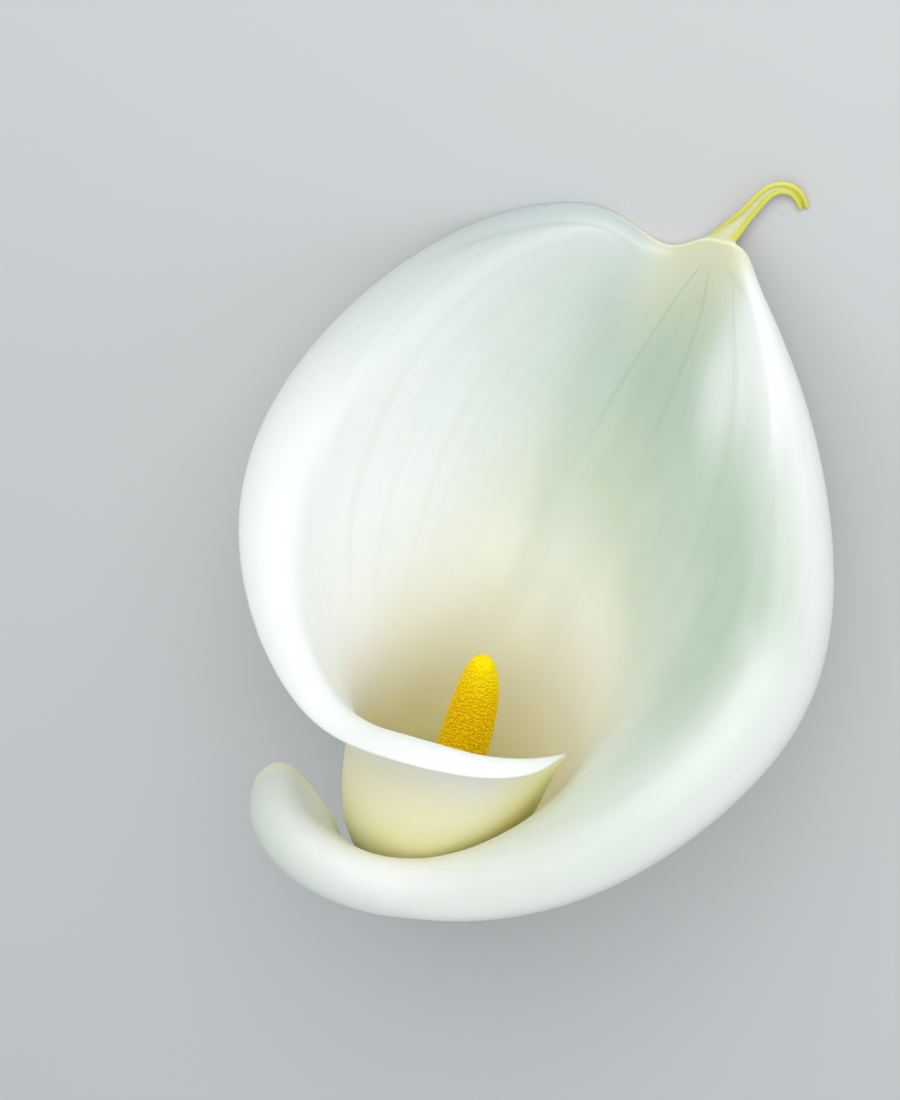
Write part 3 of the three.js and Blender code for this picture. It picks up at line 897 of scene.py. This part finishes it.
def math_node(tree, operation, first, second=None, clamp=False):
    """A Math node on sockets or numbers; returns its output."""
    node = add_node(tree, "ShaderNodeMath", operation=operation, use_clamp=clamp)
    for socket, value in zip(node.inputs, (first, second)):
        if isinstance(value, (int, float)):
            socket.default_value = value
        elif value is not None:
            tree.links.new(value, socket)
    return node.outputs[0]


def times(tree, *values):
    """The product of sockets or numbers."""
    return reduce(lambda first, second: math_node(tree, "MULTIPLY", first, second), values)


def plus(tree, *values, clamp=False):
    """The sum of sockets or numbers, held between 0 and 1 where it is clamped."""
    return reduce(lambda first, second: math_node(tree, "ADD", first, second, clamp), values)


def minus(tree, first, second):
    return math_node(tree, "SUBTRACT", first, second)


def larger(tree, first, second):
    return math_node(tree, "MAXIMUM", first, second)


def off_by(tree, value, place):
    """How far a value lies from a place, to either side."""
    return math_node(tree, "ABSOLUTE", minus(tree, value, place))


def between(tree, value, low, high):
    """A mask that eases from 0 at low to 1 at high."""
    node = add_node(tree, "ShaderNodeMapRange", interpolation_type="SMOOTHSTEP")
    set_inputs(node, From_Min=low, From_Max=high)
    tree.links.new(value, node.inputs["Value"])
    return node.outputs["Result"]


def colour_mix(tree, mask, first, second):
    """Mixes two colours by a mask; each colour is a socket or plain red, green and blue."""
    node = add_node(tree, "ShaderNodeMix", data_type="RGBA")
    tree.links.new(mask, node.inputs["Factor"])
    for socket, colour in ((node.inputs[6], first), (node.inputs[7], second)):
        if isinstance(colour, bpy.types.NodeSocket):
            tree.links.new(colour, socket)
        else:
            socket.default_value = (*colour, 1)
    return node.outputs[2]


def noise_texture(tree, vector, scale, detail=2.0, roughness=0.5, **settings):
    """Noise from 0 to 1 on a vector; scale is in cells for each 1 of it."""
    texture = add_node(tree, "ShaderNodeTexNoise", **settings)
    set_inputs(texture, Scale=scale, Detail=detail, Roughness=roughness)
    tree.links.new(vector, texture.inputs["Vector"])
    return texture.outputs["Fac"]


def object_place(tree):
    return add_node(tree, "ShaderNodeTexCoord").outputs["Object"]


def object_noise(tree, scale, detail=2.0, roughness=0.5):
    """Noise on Object coordinates, so that scale is in cells a metre."""
    return noise_texture(tree, object_place(tree), scale, detail, roughness)


def uv_axes(tree, name):
    """The two coordinates of a named UV map."""
    uv = add_node(tree, "ShaderNodeUVMap", uv_map=name)
    split = add_node(tree, "ShaderNodeSeparateXYZ")
    tree.links.new(uv.outputs["UV"], split.inputs["Vector"])
    return split.outputs["X"], split.outputs["Y"]


def new_group(name, inputs, outputs):
    """An empty shader node group with float sockets, its input node and its output node."""
    group = bpy.data.node_groups.new(name, "ShaderNodeTree")
    for label, value in inputs:
        socket = group.interface.new_socket(label, in_out="INPUT", socket_type="NodeSocketFloat")
        socket.default_value = value
    for label in outputs:
        group.interface.new_socket(label, in_out="OUTPUT", socket_type="NodeSocketFloat")
    return group, group.nodes.new("NodeGroupInput"), group.nodes.new("NodeGroupOutput")


def use_group(tree, group, **values):
    """Puts a node group into a tree, sets its inputs and returns its outputs."""
    node = add_node(tree, "ShaderNodeGroup", node_tree=group)
    set_inputs(node, **values)
    return node.outputs


def finish_shader(tree, colour, height=None, strength=0.0, distance=0.0, invert=False, **values):
    """Gives a material's shader its colour, plain values and a bump that is distance high."""
    shader = tree.nodes["Principled BSDF"]
    tree.links.new(colour, shader.inputs["Base Color"])
    set_inputs(shader, **values)
    if height is not None:
        bump = add_node(tree, "ShaderNodeBump", invert=invert)
        set_inputs(bump, Strength=strength, Distance=distance)
        tree.links.new(height, bump.inputs["Height"])
        tree.links.new(bump.outputs["Normal"], shader.inputs["Normal"])
    return shader


# The strongest veins, as their place between the left edge (0), the midrib (0.5) and the right edge
# (1) of the fan in which all veins meet at the tip, with their strength.
MAIN_VEINS = ((0.413, 1.0), (0.512, 0.25), (0.60, 0.8), (0.815, 0.5), (0.30, 0.2), (0.70, 0.2))
VEIN_HALF_WIDTH = 0.02

# The fine veins: how many cross the fan and how often each breaks up. Then how far the main ones
# wander.
FINE_VEINS = 55
FINE_VEIN_BREAKS = 1.6
VEIN_WANDER = 0.012

# Zones of the spathe's skin that depend on one axis of its chart: the value at which the mask is 0
# and the value at which it is 1, up a rib or round the rim.
ZONES_UP = (("Throat", 0.60, 0.30), ("Deep", 0.36, 0.12), ("Foot", 0.16, 0.0))
ZONES_AROUND = (
    ("Exposed", 0.78, 0.90),
    ("Lobe", 0.85, 0.95),
    ("Lobe Edge", 0.978, 1.0),
    ("Inner Margin Glow", 0.12, 0.03),
    ("Inner Wrap", 0.45, 0.25),
)

# Zones with four soft sides: such a pair for the left, the right, the lower and the upper side.
# OPEN_END lies past the end of both axes, so the zone goes on to the rim and a little up the tail.
OPEN_END = (1.2, 1.1)
# Most of these zones paint light or shade into the skin: painted shade on the right and low sides,
# the far side and
# far rim, the top rim, the upper limb, the back wall and the low rim; painted light beside the tip
# and on the throat's left walls. The tail root and the tip are the skin's own tints.
ZONE_PATCHES = (
    ("Shaded Right Limb", (0.40, 0.53), (0.80, 0.52), (0.36, 0.50), (0.72, 0.63)),
    ("Shaded Low Side", (0.58, 0.64), (0.84, 0.74), (0.50, 0.62), (0.92, 0.80)),
    ("Shaded Top Rim", (0.355, 0.46), (0.494, 0.480), (0.54, 0.88), OPEN_END),
    ("Lit Tip Side", (0.508, 0.528), (0.560, 0.530), (0.590, 0.640), OPEN_END),
    ("Shaded Far Side", (0.545, 0.580), (0.650, 0.610), (0.590, 0.670), (0.84, 0.74)),
    ("Tail Root", (0.466, 0.482), (0.516, 0.504), (0.86, 0.97), OPEN_END),
    ("Lit Wall", (0.22, 0.28), (0.385, 0.335), (0.28, 0.40), OPEN_END),
    ("Shaded Low Rim", (0.66, 0.76), OPEN_END, (0.78, 0.90), OPEN_END),
    ("Shaded Upper Limb", (0.33, 0.43), (0.54, 0.505), (0.36, 0.44), OPEN_END),
    ("Shaded Back Wall", (0.464, 0.490), (0.555, 0.515), (0.30, 0.38), (0.53, 0.43)),
    ("Shaded Far Rim", (0.550, 0.586), (0.630, 0.600), (0.57, 0.65), (0.73, 0.665)),
    ("Lit Left Wall", (0.26, 0.32), (0.40, 0.345), (0.28, 0.38), (0.66, 0.50)),
    ("Tip", (0.478, 0.496), (0.522, 0.506), (0.58, 0.72), OPEN_END),
)

# Painted shadow lines along the folds of the skin, where share + slope * around = level on its
# chart:
# slope, level, half the width, and a pair for the left and the right end.
CREASE_SHADOWS = (
    (3.4, 2.326, 0.03, (0.42, 0.44), (0.486, 0.474)),
    (-0.7, 0.317, 0.006, (0.504, 0.510), (0.522, 0.513)),
)

# Painted shade: how strongly zones of the limb that turn from the light are mixed towards the cool
# greenish grey, on both faces of the sheet.
PAINTED_SHADE_ZONES = {"Shaded Low Side": 0.36, "Shaded Low Rim": 0.26, "Shaded Far Rim": 0.2, "Shaded Upper Limb": 0.16, "Lobe": 0.3}


def petal_veins():
    """Node group: fine and main veins that fan out from the tip, as a line mask and a height."""
    group, start, end = new_group("petal_veins", (("Fine", 1.0), ("Main", 1.0)), ("Line", "Height"))
    across, from_rim = uv_axes(group, "veins")
    stretched = add_node(group, "ShaderNodeCombineXYZ")
    group.links.new(times(group, across, FINE_VEINS), stretched.inputs["X"])
    group.links.new(times(group, from_rim, FINE_VEIN_BREAKS), stretched.inputs["Y"])
    streaks = noise_texture(group, stretched.outputs["Vector"], 1.0, noise_dimensions="2D")
    wander = times(group, minus(group, object_noise(group, 60, 1.0), 0.5), VEIN_WANDER)
    wandered = plus(group, across, wander)
    main = 0.0
    for place, strength in MAIN_VEINS:
        line = between(group, off_by(group, wandered, place), VEIN_HALF_WIDTH, 0.0)
        main = larger(group, main, times(group, line, strength))
    fade = between(group, from_rim, 0.02, 0.08)
    lasting = plus(group, times(group, between(group, from_rim, 0.52, 0.26), 0.75), 0.25)
    main = times(group, main, start.outputs["Main"], fade, lasting)
    fine = times(group, between(group, streaks, 0.45, 0.80), start.outputs["Fine"], fade)
    group.links.new(larger(group, main, fine), end.inputs["Line"])
    swell = times(group, streaks, start.outputs["Fine"])
    group.links.new(plus(group, swell, main), end.inputs["Height"])
    return group


def petal_zones():
    """Node group: masks for the zones tabled above, the creases' painted shadows, the tail and its
    margins.
    """
    names = [zone[0] for zone in ZONES_UP + ZONES_AROUND + ZONE_PATCHES]
    group, _, end = new_group("petal_zones", (), (*names, "Crease Shadow", "Tail", "Tail Margin"))
    around, share = uv_axes(group, "chart")
    uneven = times(group, minus(group, object_noise(group, 55), 0.5), 0.06)
    share_uneven = plus(group, share, uneven)
    for axis, zones in ((share_uneven, ZONES_UP), (around, ZONES_AROUND)):
        for name, low, high in zones:
            group.links.new(between(group, axis, low, high), end.inputs[name])
    for name, left, right, low, high in ZONE_PATCHES:
        sides = [between(group, around, *pair) for pair in (left, right)]
        ends = [between(group, share, *pair) for pair in (low, high)]
        group.links.new(times(group, *sides, *ends), end.inputs[name])
    crease_shadow = 0.0
    for slope, level, half_width, left, right in CREASE_SHADOWS:
        off_line = off_by(group, plus(group, share, times(group, around, slope)), level)
        ends = [between(group, around, *pair) for pair in (left, right)]
        line = times(group, between(group, off_line, half_width, 0.0), *ends)
        crease_shadow = larger(group, crease_shadow, line)
    group.links.new(crease_shadow, end.inputs["Crease Shadow"])
    tail = between(group, share, 1.002, 1.014)
    group.links.new(tail, end.inputs["Tail"])
    margin = times(group, between(group, off_by(group, around, 0.5), 0.0, 0.44), tail)
    far_end = between(group, share, 1.5, 1.95)
    group.links.new(larger(group, margin, far_end), end.inputs["Tail Margin"])
    return group


def petal_shade(tree, zones, inside):
    """Mask: how far the spathe's white is mixed towards its cool shade, as painted shade and faint
    mottle.
    """
    patches = times(tree, between(tree, object_noise(tree, 38, 3.0), 0.42, 0.72), 0.05)
    # Painted shade on the limb's right wall, which turns from the light; only faint on the outside.
    shadowed = times(tree, zones["Shaded Right Limb"], 0.95 if inside else 0.2)
    if inside:
        # Painted light lifts the patch beside the tip out of that shade; the far side gets painted
        # shade.
        lit_side = times(tree, zones["Lit Tip Side"], 0.55)
        shadowed = times(tree, shadowed, minus(tree, 1.0, lit_side))
        shadowed = larger(tree, shadowed, times(tree, zones["Shaded Far Side"], 0.5))
    shaded = [times(tree, zones[name], strength) for name, strength in PAINTED_SHADE_ZONES.items()]
    return plus(tree, patches, shadowed, *shaded, clamp=True)


def tint(tree, colour, layers):
    """Mixes colours in, one after the other: each layer is a mask, its strength and its colour."""
    for mask, strength, wanted in layers:
        colour = colour_mix(tree, times(tree, mask, strength), colour, wanted)
    return colour


def petal_material(name, settings, groups, inside):
    """The spathe's skin: satin white, faintly veined, cream in the throat, green at the foot;
    painted light and shade.
    """
    material, tree = new_material(name)
    zones = use_group(tree, groups[0])
    veins = use_group(tree, groups[1], Fine=0.2, Main=1.0 if inside else 0.3)
    colour = colour_mix(tree, petal_shade(tree, zones, inside), settings.white, settings.shade)
    # Painted shade: the top rim, rolling back from the light, is mixed towards bluish grey.
    layers = [(zones["Shaded Top Rim"], 0.85, settings.cool)]
    if inside:
        # Painted shadow: dark lines along the folds of the rim and beside the tail.
        layers += [(zones["Crease Shadow"], 0.3, settings.vein)]
    layers += [(zones["Tip"], 1, settings.tip_tint), (veins["Line"], 0.42, settings.vein)]
    if inside:
        hidden = minus(tree, 1.0, zones["Exposed"])
        # Painted light: the cream is held back on the throat's left wall, where the light meets it.
        unlit = minus(tree, 1.0, times(tree, zones["Lit Wall"], 0.7))
        layers += [
            (times(tree, zones["Throat"], hidden, unlit), 0.75, settings.cream),
            (zones["Deep"], hidden, settings.throat),
            # Painted shade on the back wall beside the spadix.
            (zones["Shaded Back Wall"], 0.28, settings.shade),
            # Painted light: the throat's left wall is mixed towards a brighter white.
            (zones["Lit Left Wall"], 0.6, settings.lit_white),
        ]
    else:
        sides = plus(tree, times(tree, zones["Inner Wrap"], 0.75), 0.25)
        warm = plus(tree, times(tree, zones["Throat"], 0.7), 0.3)
        layers += [
            (warm, sides, settings.throat),
            (times(tree, zones["Deep"], sides), 0.55, settings.husk),
            # Partly painted light: the inner margin's warm yellow, brightened as a glow of light
            # through the sheet into the crease.
            (zones["Inner Margin Glow"], 0.8, settings.husk),
        ]
    tail_middle = tuple(mix(*parts, 0.8) for parts in zip(settings.throat, settings.tip_tint))
    layers += [
        (zones["Lobe Edge"], 0.6, settings.throat),
        (zones["Foot"], 1, settings.foot_green),
        (zones["Tail Root"], 0.8, settings.throat),
        (zones["Tail"], 0.85, tail_middle),
        (zones["Tail Margin"], 1, settings.tail_yellow),
    ]
    height = plus(tree, veins["Height"], times(tree, object_noise(tree, 2600), 0.16))
    shader = finish_shader(
        tree, tint(tree, colour, layers), height, 0.25, 0.00025, IOR=1.4,
        Subsurface_Weight=0.75, Subsurface_Scale=0.0035, Subsurface_Radius=(1.0, 0.95, 0.7),
    )
    roughness = add_node(tree, "ShaderNodeMapRange")
    set_inputs(roughness, To_Min=0.42, To_Max=0.58)
    tree.links.new(object_noise(tree, 300, 3.0), roughness.inputs["Value"])
    tree.links.new(roughness.outputs["Result"], shader.inputs["Roughness"])
    return material


def anther_material(settings):
    """Matt gold with each anther a little different, brighter at the tip and dusted with pollen."""
    material, tree = new_material("anther_gold")
    each, height = uv_axes(tree, "spadix")
    tip = times(tree, between(tree, height, 0.86, 0.985), 0.8)
    uneven = times(tree, each, 0.25)
    dust = times(tree, between(tree, object_noise(tree, 2400, 3.0, 0.65), 0.52, 0.66), 0.2)
    mask = plus(tree, tip, uneven, dust, clamp=True)
    colour = colour_mix(tree, mask, settings.gold, settings.pollen)
    finish_shader(
        tree, colour, object_noise(tree, 5200), 0.5, 0.0001, Roughness=0.8,
        Subsurface_Weight=0.3, Subsurface_Scale=0.001, Specular_IOR_Level=0.12,
    )
    return material


def ovary_material(settings):
    """Moist pale green ovaries, each a little different."""
    material, tree = new_material("ovary_green")
    each, _ = uv_axes(tree, "spadix")
    mottle = times(tree, object_noise(tree, 900, 3.0), 0.6)
    mask = plus(tree, times(tree, each, 0.4), mottle, clamp=True)
    paler = tuple(mix(part, 0.85, 0.45) for part in settings.ovary)
    colour = colour_mix(tree, mask, settings.ovary, paler)
    finish_shader(
        tree, colour, object_noise(tree, 3000), 0.3, 0.0001, Roughness=0.4,
        Subsurface_Weight=0.3, Subsurface_Scale=0.0015, IOR=1.4,
    )
    return material


# How many times longer than wide the streaks of the stalk are, and its brown at the cut.
STREAK_LENGTH = 22
STALK_BROWN = (0.30, 0.26, 0.07)


def stalk_streaks(tree):
    """Long thin streaks down the stalk, from noise stretched along the stalk's own axis."""
    align = add_node(tree, "ShaderNodeMapping", vector_type="TEXTURE")
    axis = (settle(Vector((0, 0, 0))) - settle(Vector((0, 0, -STEM_LENGTH)))).normalized()
    turn = axis.to_track_quat("Z", "Y").to_euler()
    set_inputs(align, Rotation=turn, Scale=(1, 1, STREAK_LENGTH))
    tree.links.new(object_place(tree), align.inputs["Vector"])
    return noise_texture(tree, align.outputs["Vector"], 1500.0, roughness=0.55)


def stalk_material(settings):
    """Waxy green skin with paler streaks, lighter under the spathe and browned at the cut."""
    material, tree = new_material("stalk_skin")
    _, down = uv_axes(tree, "stalk")
    streaks = stalk_streaks(tree)
    pale = times(tree, between(tree, streaks, 0.4, 0.7), 0.6)
    top = times(tree, between(tree, down, 0.35, 0.0), 0.35)
    mask = plus(tree, pale, top, clamp=True)
    colour = colour_mix(tree, mask, settings.green, settings.pale_green)
    browned = times(tree, between(tree, down, 0.975, 1.0), 0.5)
    colour = colour_mix(tree, browned, colour, STALK_BROWN)
    finish_shader(
        tree, colour, streaks, 0.4, 0.00012, Roughness=0.38,
        Subsurface_Weight=0.12, Subsurface_Scale=0.0015, IOR=1.42,
    )
    return material


def pith_material(settings):
    """The wet cut end: pale pith pricked with the mouths of the stalk's vessels, ringed by skin."""
    material, tree = new_material("stalk_pith")
    pores = add_node(tree, "ShaderNodeTexVoronoi")
    set_inputs(pores, Scale=1300.0, Randomness=0.85)
    tree.links.new(object_place(tree), pores.inputs["Vector"])
    open_pore = between(tree, pores.outputs["Distance"], 0.34, 0.2)
    radius, _ = uv_axes(tree, "stalk")
    skin = between(tree, radius, 0.745, 0.775)
    colour = colour_mix(tree, open_pore, settings.pith, settings.pale_green)
    colour = colour_mix(tree, skin, colour, settings.green)
    finish_shader(
        tree, colour, open_pore, 0.6, 0.0002, invert=True, Roughness=0.3,
        Subsurface_Weight=0.3, Subsurface_Scale=0.0015, IOR=1.38,
    )
    return material


def floor_material(settings):
    """Matt, with broad soft speckles that are barely lighter."""
    material, tree = new_material("studio_floor")
    speckle = times(tree, object_noise(tree, 12, 3.0), 0.12)
    lighter = tuple(min(1.0, part * 1.12) for part in settings.floor_colour)
    colour = colour_mix(tree, speckle, settings.floor_colour, lighter)
    finish_shader(tree, colour, Roughness=0.9, Specular_IOR_Level=0.1)
    return material


def build_floor(settings):
    start_piece()
    bpy.ops.mesh.primitive_plane_add(size=settings.floor_size, location=(0, 0, 0))
    floor = bpy.context.object
    floor.name = "studio_floor"
    floor.data.materials.append(floor_material(settings))


def soft_light(name, place, target, size, power, colour=(1, 1, 1)):
    """A round softbox of the given diameter and power, aimed at the target."""
    light = bpy.data.lights.new(name, "AREA")
    light.shape = "DISK"
    light.size = size
    light.energy = power
    light.color = colour
    lamp = bpy.data.objects.new(name, light)
    bpy.context.scene.collection.objects.link(lamp)
    lamp.location = place
    lamp.rotation_euler = (target - place).to_track_quat("-Z", "Y").to_euler()


def photo_axes():
    """The camera's right, up and backward directions and its place, once the flower lies down."""
    turn = LIE.to_3x3()
    back = Vector((0, -math.sin(CAMERA_ABOVE_MOUTH), math.cos(CAMERA_ABOVE_MOUTH)))
    up = Vector((0, math.cos(CAMERA_ABOVE_MOUTH), math.sin(CAMERA_ABOVE_MOUTH)))
    right = Vector((1, 0, 0))
    rolled_right = right * math.cos(CAMERA_ROLL) + up * math.sin(CAMERA_ROLL)
    rolled_up = up * math.cos(CAMERA_ROLL) - right * math.sin(CAMERA_ROLL)
    place = LIE @ (CAMERA_TARGET + back * CAMERA_DISTANCE)
    return turn @ rolled_right, turn @ rolled_up, turn @ back, place


def build_camera():
    right, up, back, place = photo_axes()
    data = bpy.data.cameras.new("photo_camera")
    data.lens = CAMERA_LENS
    data.sensor_width = CAMERA_SENSOR
    camera = bpy.data.objects.new("photo_camera", data)
    bpy.context.scene.collection.objects.link(camera)
    facing = Matrix((right, up, back)).transposed().to_4x4()
    camera.matrix_world = Matrix.Translation(place) @ facing
    bpy.context.scene.camera = camera


def beside_camera(offset):
    """A place given by how far it lies right, up and back from the flower for the camera."""
    right, up, back, _ = photo_axes()
    return LIE @ CAMERA_TARGET + back * offset[2] + right * offset[0] + up * offset[1]


def build_lights(settings):
    """The three softboxes, and an even sky that fills their shadows."""
    target = LIE @ CAMERA_TARGET
    key, fill = beside_camera(KEY_OFFSET), beside_camera(FILL_OFFSET)
    soft_light("key_softbox", key, target, KEY_SIZE, settings.key_power, (1, 0.99, 0.97))
    soft_light("fill_softbox", fill, target, FILL_SIZE, settings.fill_power, (1, 1, 0.98))
    above = Vector((0, 0, TOP_HEIGHT))
    soft_light("top_softbox", above, Vector((0, 0, 0)), TOP_SIZE, settings.top_power)
    bpy.context.scene.view_settings.view_transform = "Standard"
    world = bpy.data.worlds.new("studio_sky")
    world.use_nodes = True
    sky = world.node_tree.nodes["Background"]
    set_inputs(sky, Color=(0.95, 0.98, 1.0, 1), Strength=settings.sky)
    bpy.context.scene.world = world


class LILY_OT_spathe(bpy.types.Operator):
    """Builds the rolled white spathe with its curled tail."""

    bl_idname = "lily.build_spathe"
    bl_label = "Build Spathe"

    def execute(self, context):
        build_spathe(context.scene.lily_spathe)
        return {"FINISHED"}


class LILY_OT_anthers(bpy.types.Operator):
    """Builds the golden upper zone of the spadix, covered with anthers."""

    bl_idname = "lily.build_anthers"
    bl_label = "Build Anthers"

    def execute(self, context):
        build_anthers(context.scene.lily_spadix)
        return {"FINISHED"}


class LILY_OT_ovaries(bpy.types.Operator):
    """Builds the pale lower zone of the spadix, covered with ovaries."""

    bl_idname = "lily.build_ovaries"
    bl_label = "Build Ovaries"

    def execute(self, context):
        build_ovaries(context.scene.lily_spadix)
        return {"FINISHED"}


class LILY_OT_stalk(bpy.types.Operator):
    """Builds the short green stalk with its cut end."""

    bl_idname = "lily.build_stalk"
    bl_label = "Build Stalk"

    def execute(self, context):
        build_stalk(context.scene.lily_stalk)
        return {"FINISHED"}


class LILY_OT_studio(bpy.types.Operator):
    """Builds the floor, the lights and the camera."""

    bl_idname = "lily.build_studio"
    bl_label = "Build Studio"

    def execute(self, context):
        settings = context.scene.lily_studio
        build_floor(settings)
        build_camera()
        build_lights(settings)
        return {"FINISHED"}


class LILY_PT_flower(bpy.types.Panel):
    """Lists the flower's pieces and their sizes and colours."""

    bl_label = "Arum Lily"
    bl_idname = "LILY_PT_flower"
    bl_space_type = "VIEW_3D"
    bl_region_type = "UI"
    bl_category = "Arum Lily"

    def draw(self, context):
        for operators, settings in (
            (("lily.build_spathe",), context.scene.lily_spathe),
            (("lily.build_anthers", "lily.build_ovaries"), context.scene.lily_spadix),
            (("lily.build_stalk",), context.scene.lily_stalk),
            (("lily.build_studio",), context.scene.lily_studio),
        ):
            box = self.layout.box()
            for name in settings.__annotations__:
                box.prop(settings, name)
            for operator in operators:
                box.operator(operator)


SETTINGS = {
    "lily_spathe": LilySpatheSettings,
    "lily_spadix": LilySpadixSettings,
    "lily_stalk": LilyStalkSettings,
    "lily_studio": LilyStudioSettings,
}
OPERATORS = (LILY_OT_spathe, LILY_OT_anthers, LILY_OT_ovaries, LILY_OT_stalk, LILY_OT_studio)


def register():
    for settings in SETTINGS.values():
        bpy.utils.register_class(settings)
    for shown in (*OPERATORS, LILY_PT_flower):
        bpy.utils.register_class(shown)
    for name, settings in SETTINGS.items():
        setattr(bpy.types.Scene, name, PointerProperty(type=settings))


def unregister():
    for name in SETTINGS:
        delattr(bpy.types.Scene, name)
    for shown in (LILY_PT_flower, *reversed(OPERATORS), *SETTINGS.values()):
        bpy.utils.unregister_class(shown)


def main():
    register()
    bpy.ops.lily.build_spathe()
    bpy.ops.lily.build_anthers()
    bpy.ops.lily.build_ovaries()
    bpy.ops.lily.build_stalk()
    bpy.ops.lily.build_studio()
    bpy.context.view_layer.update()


if __name__ == "__main__":
    main()
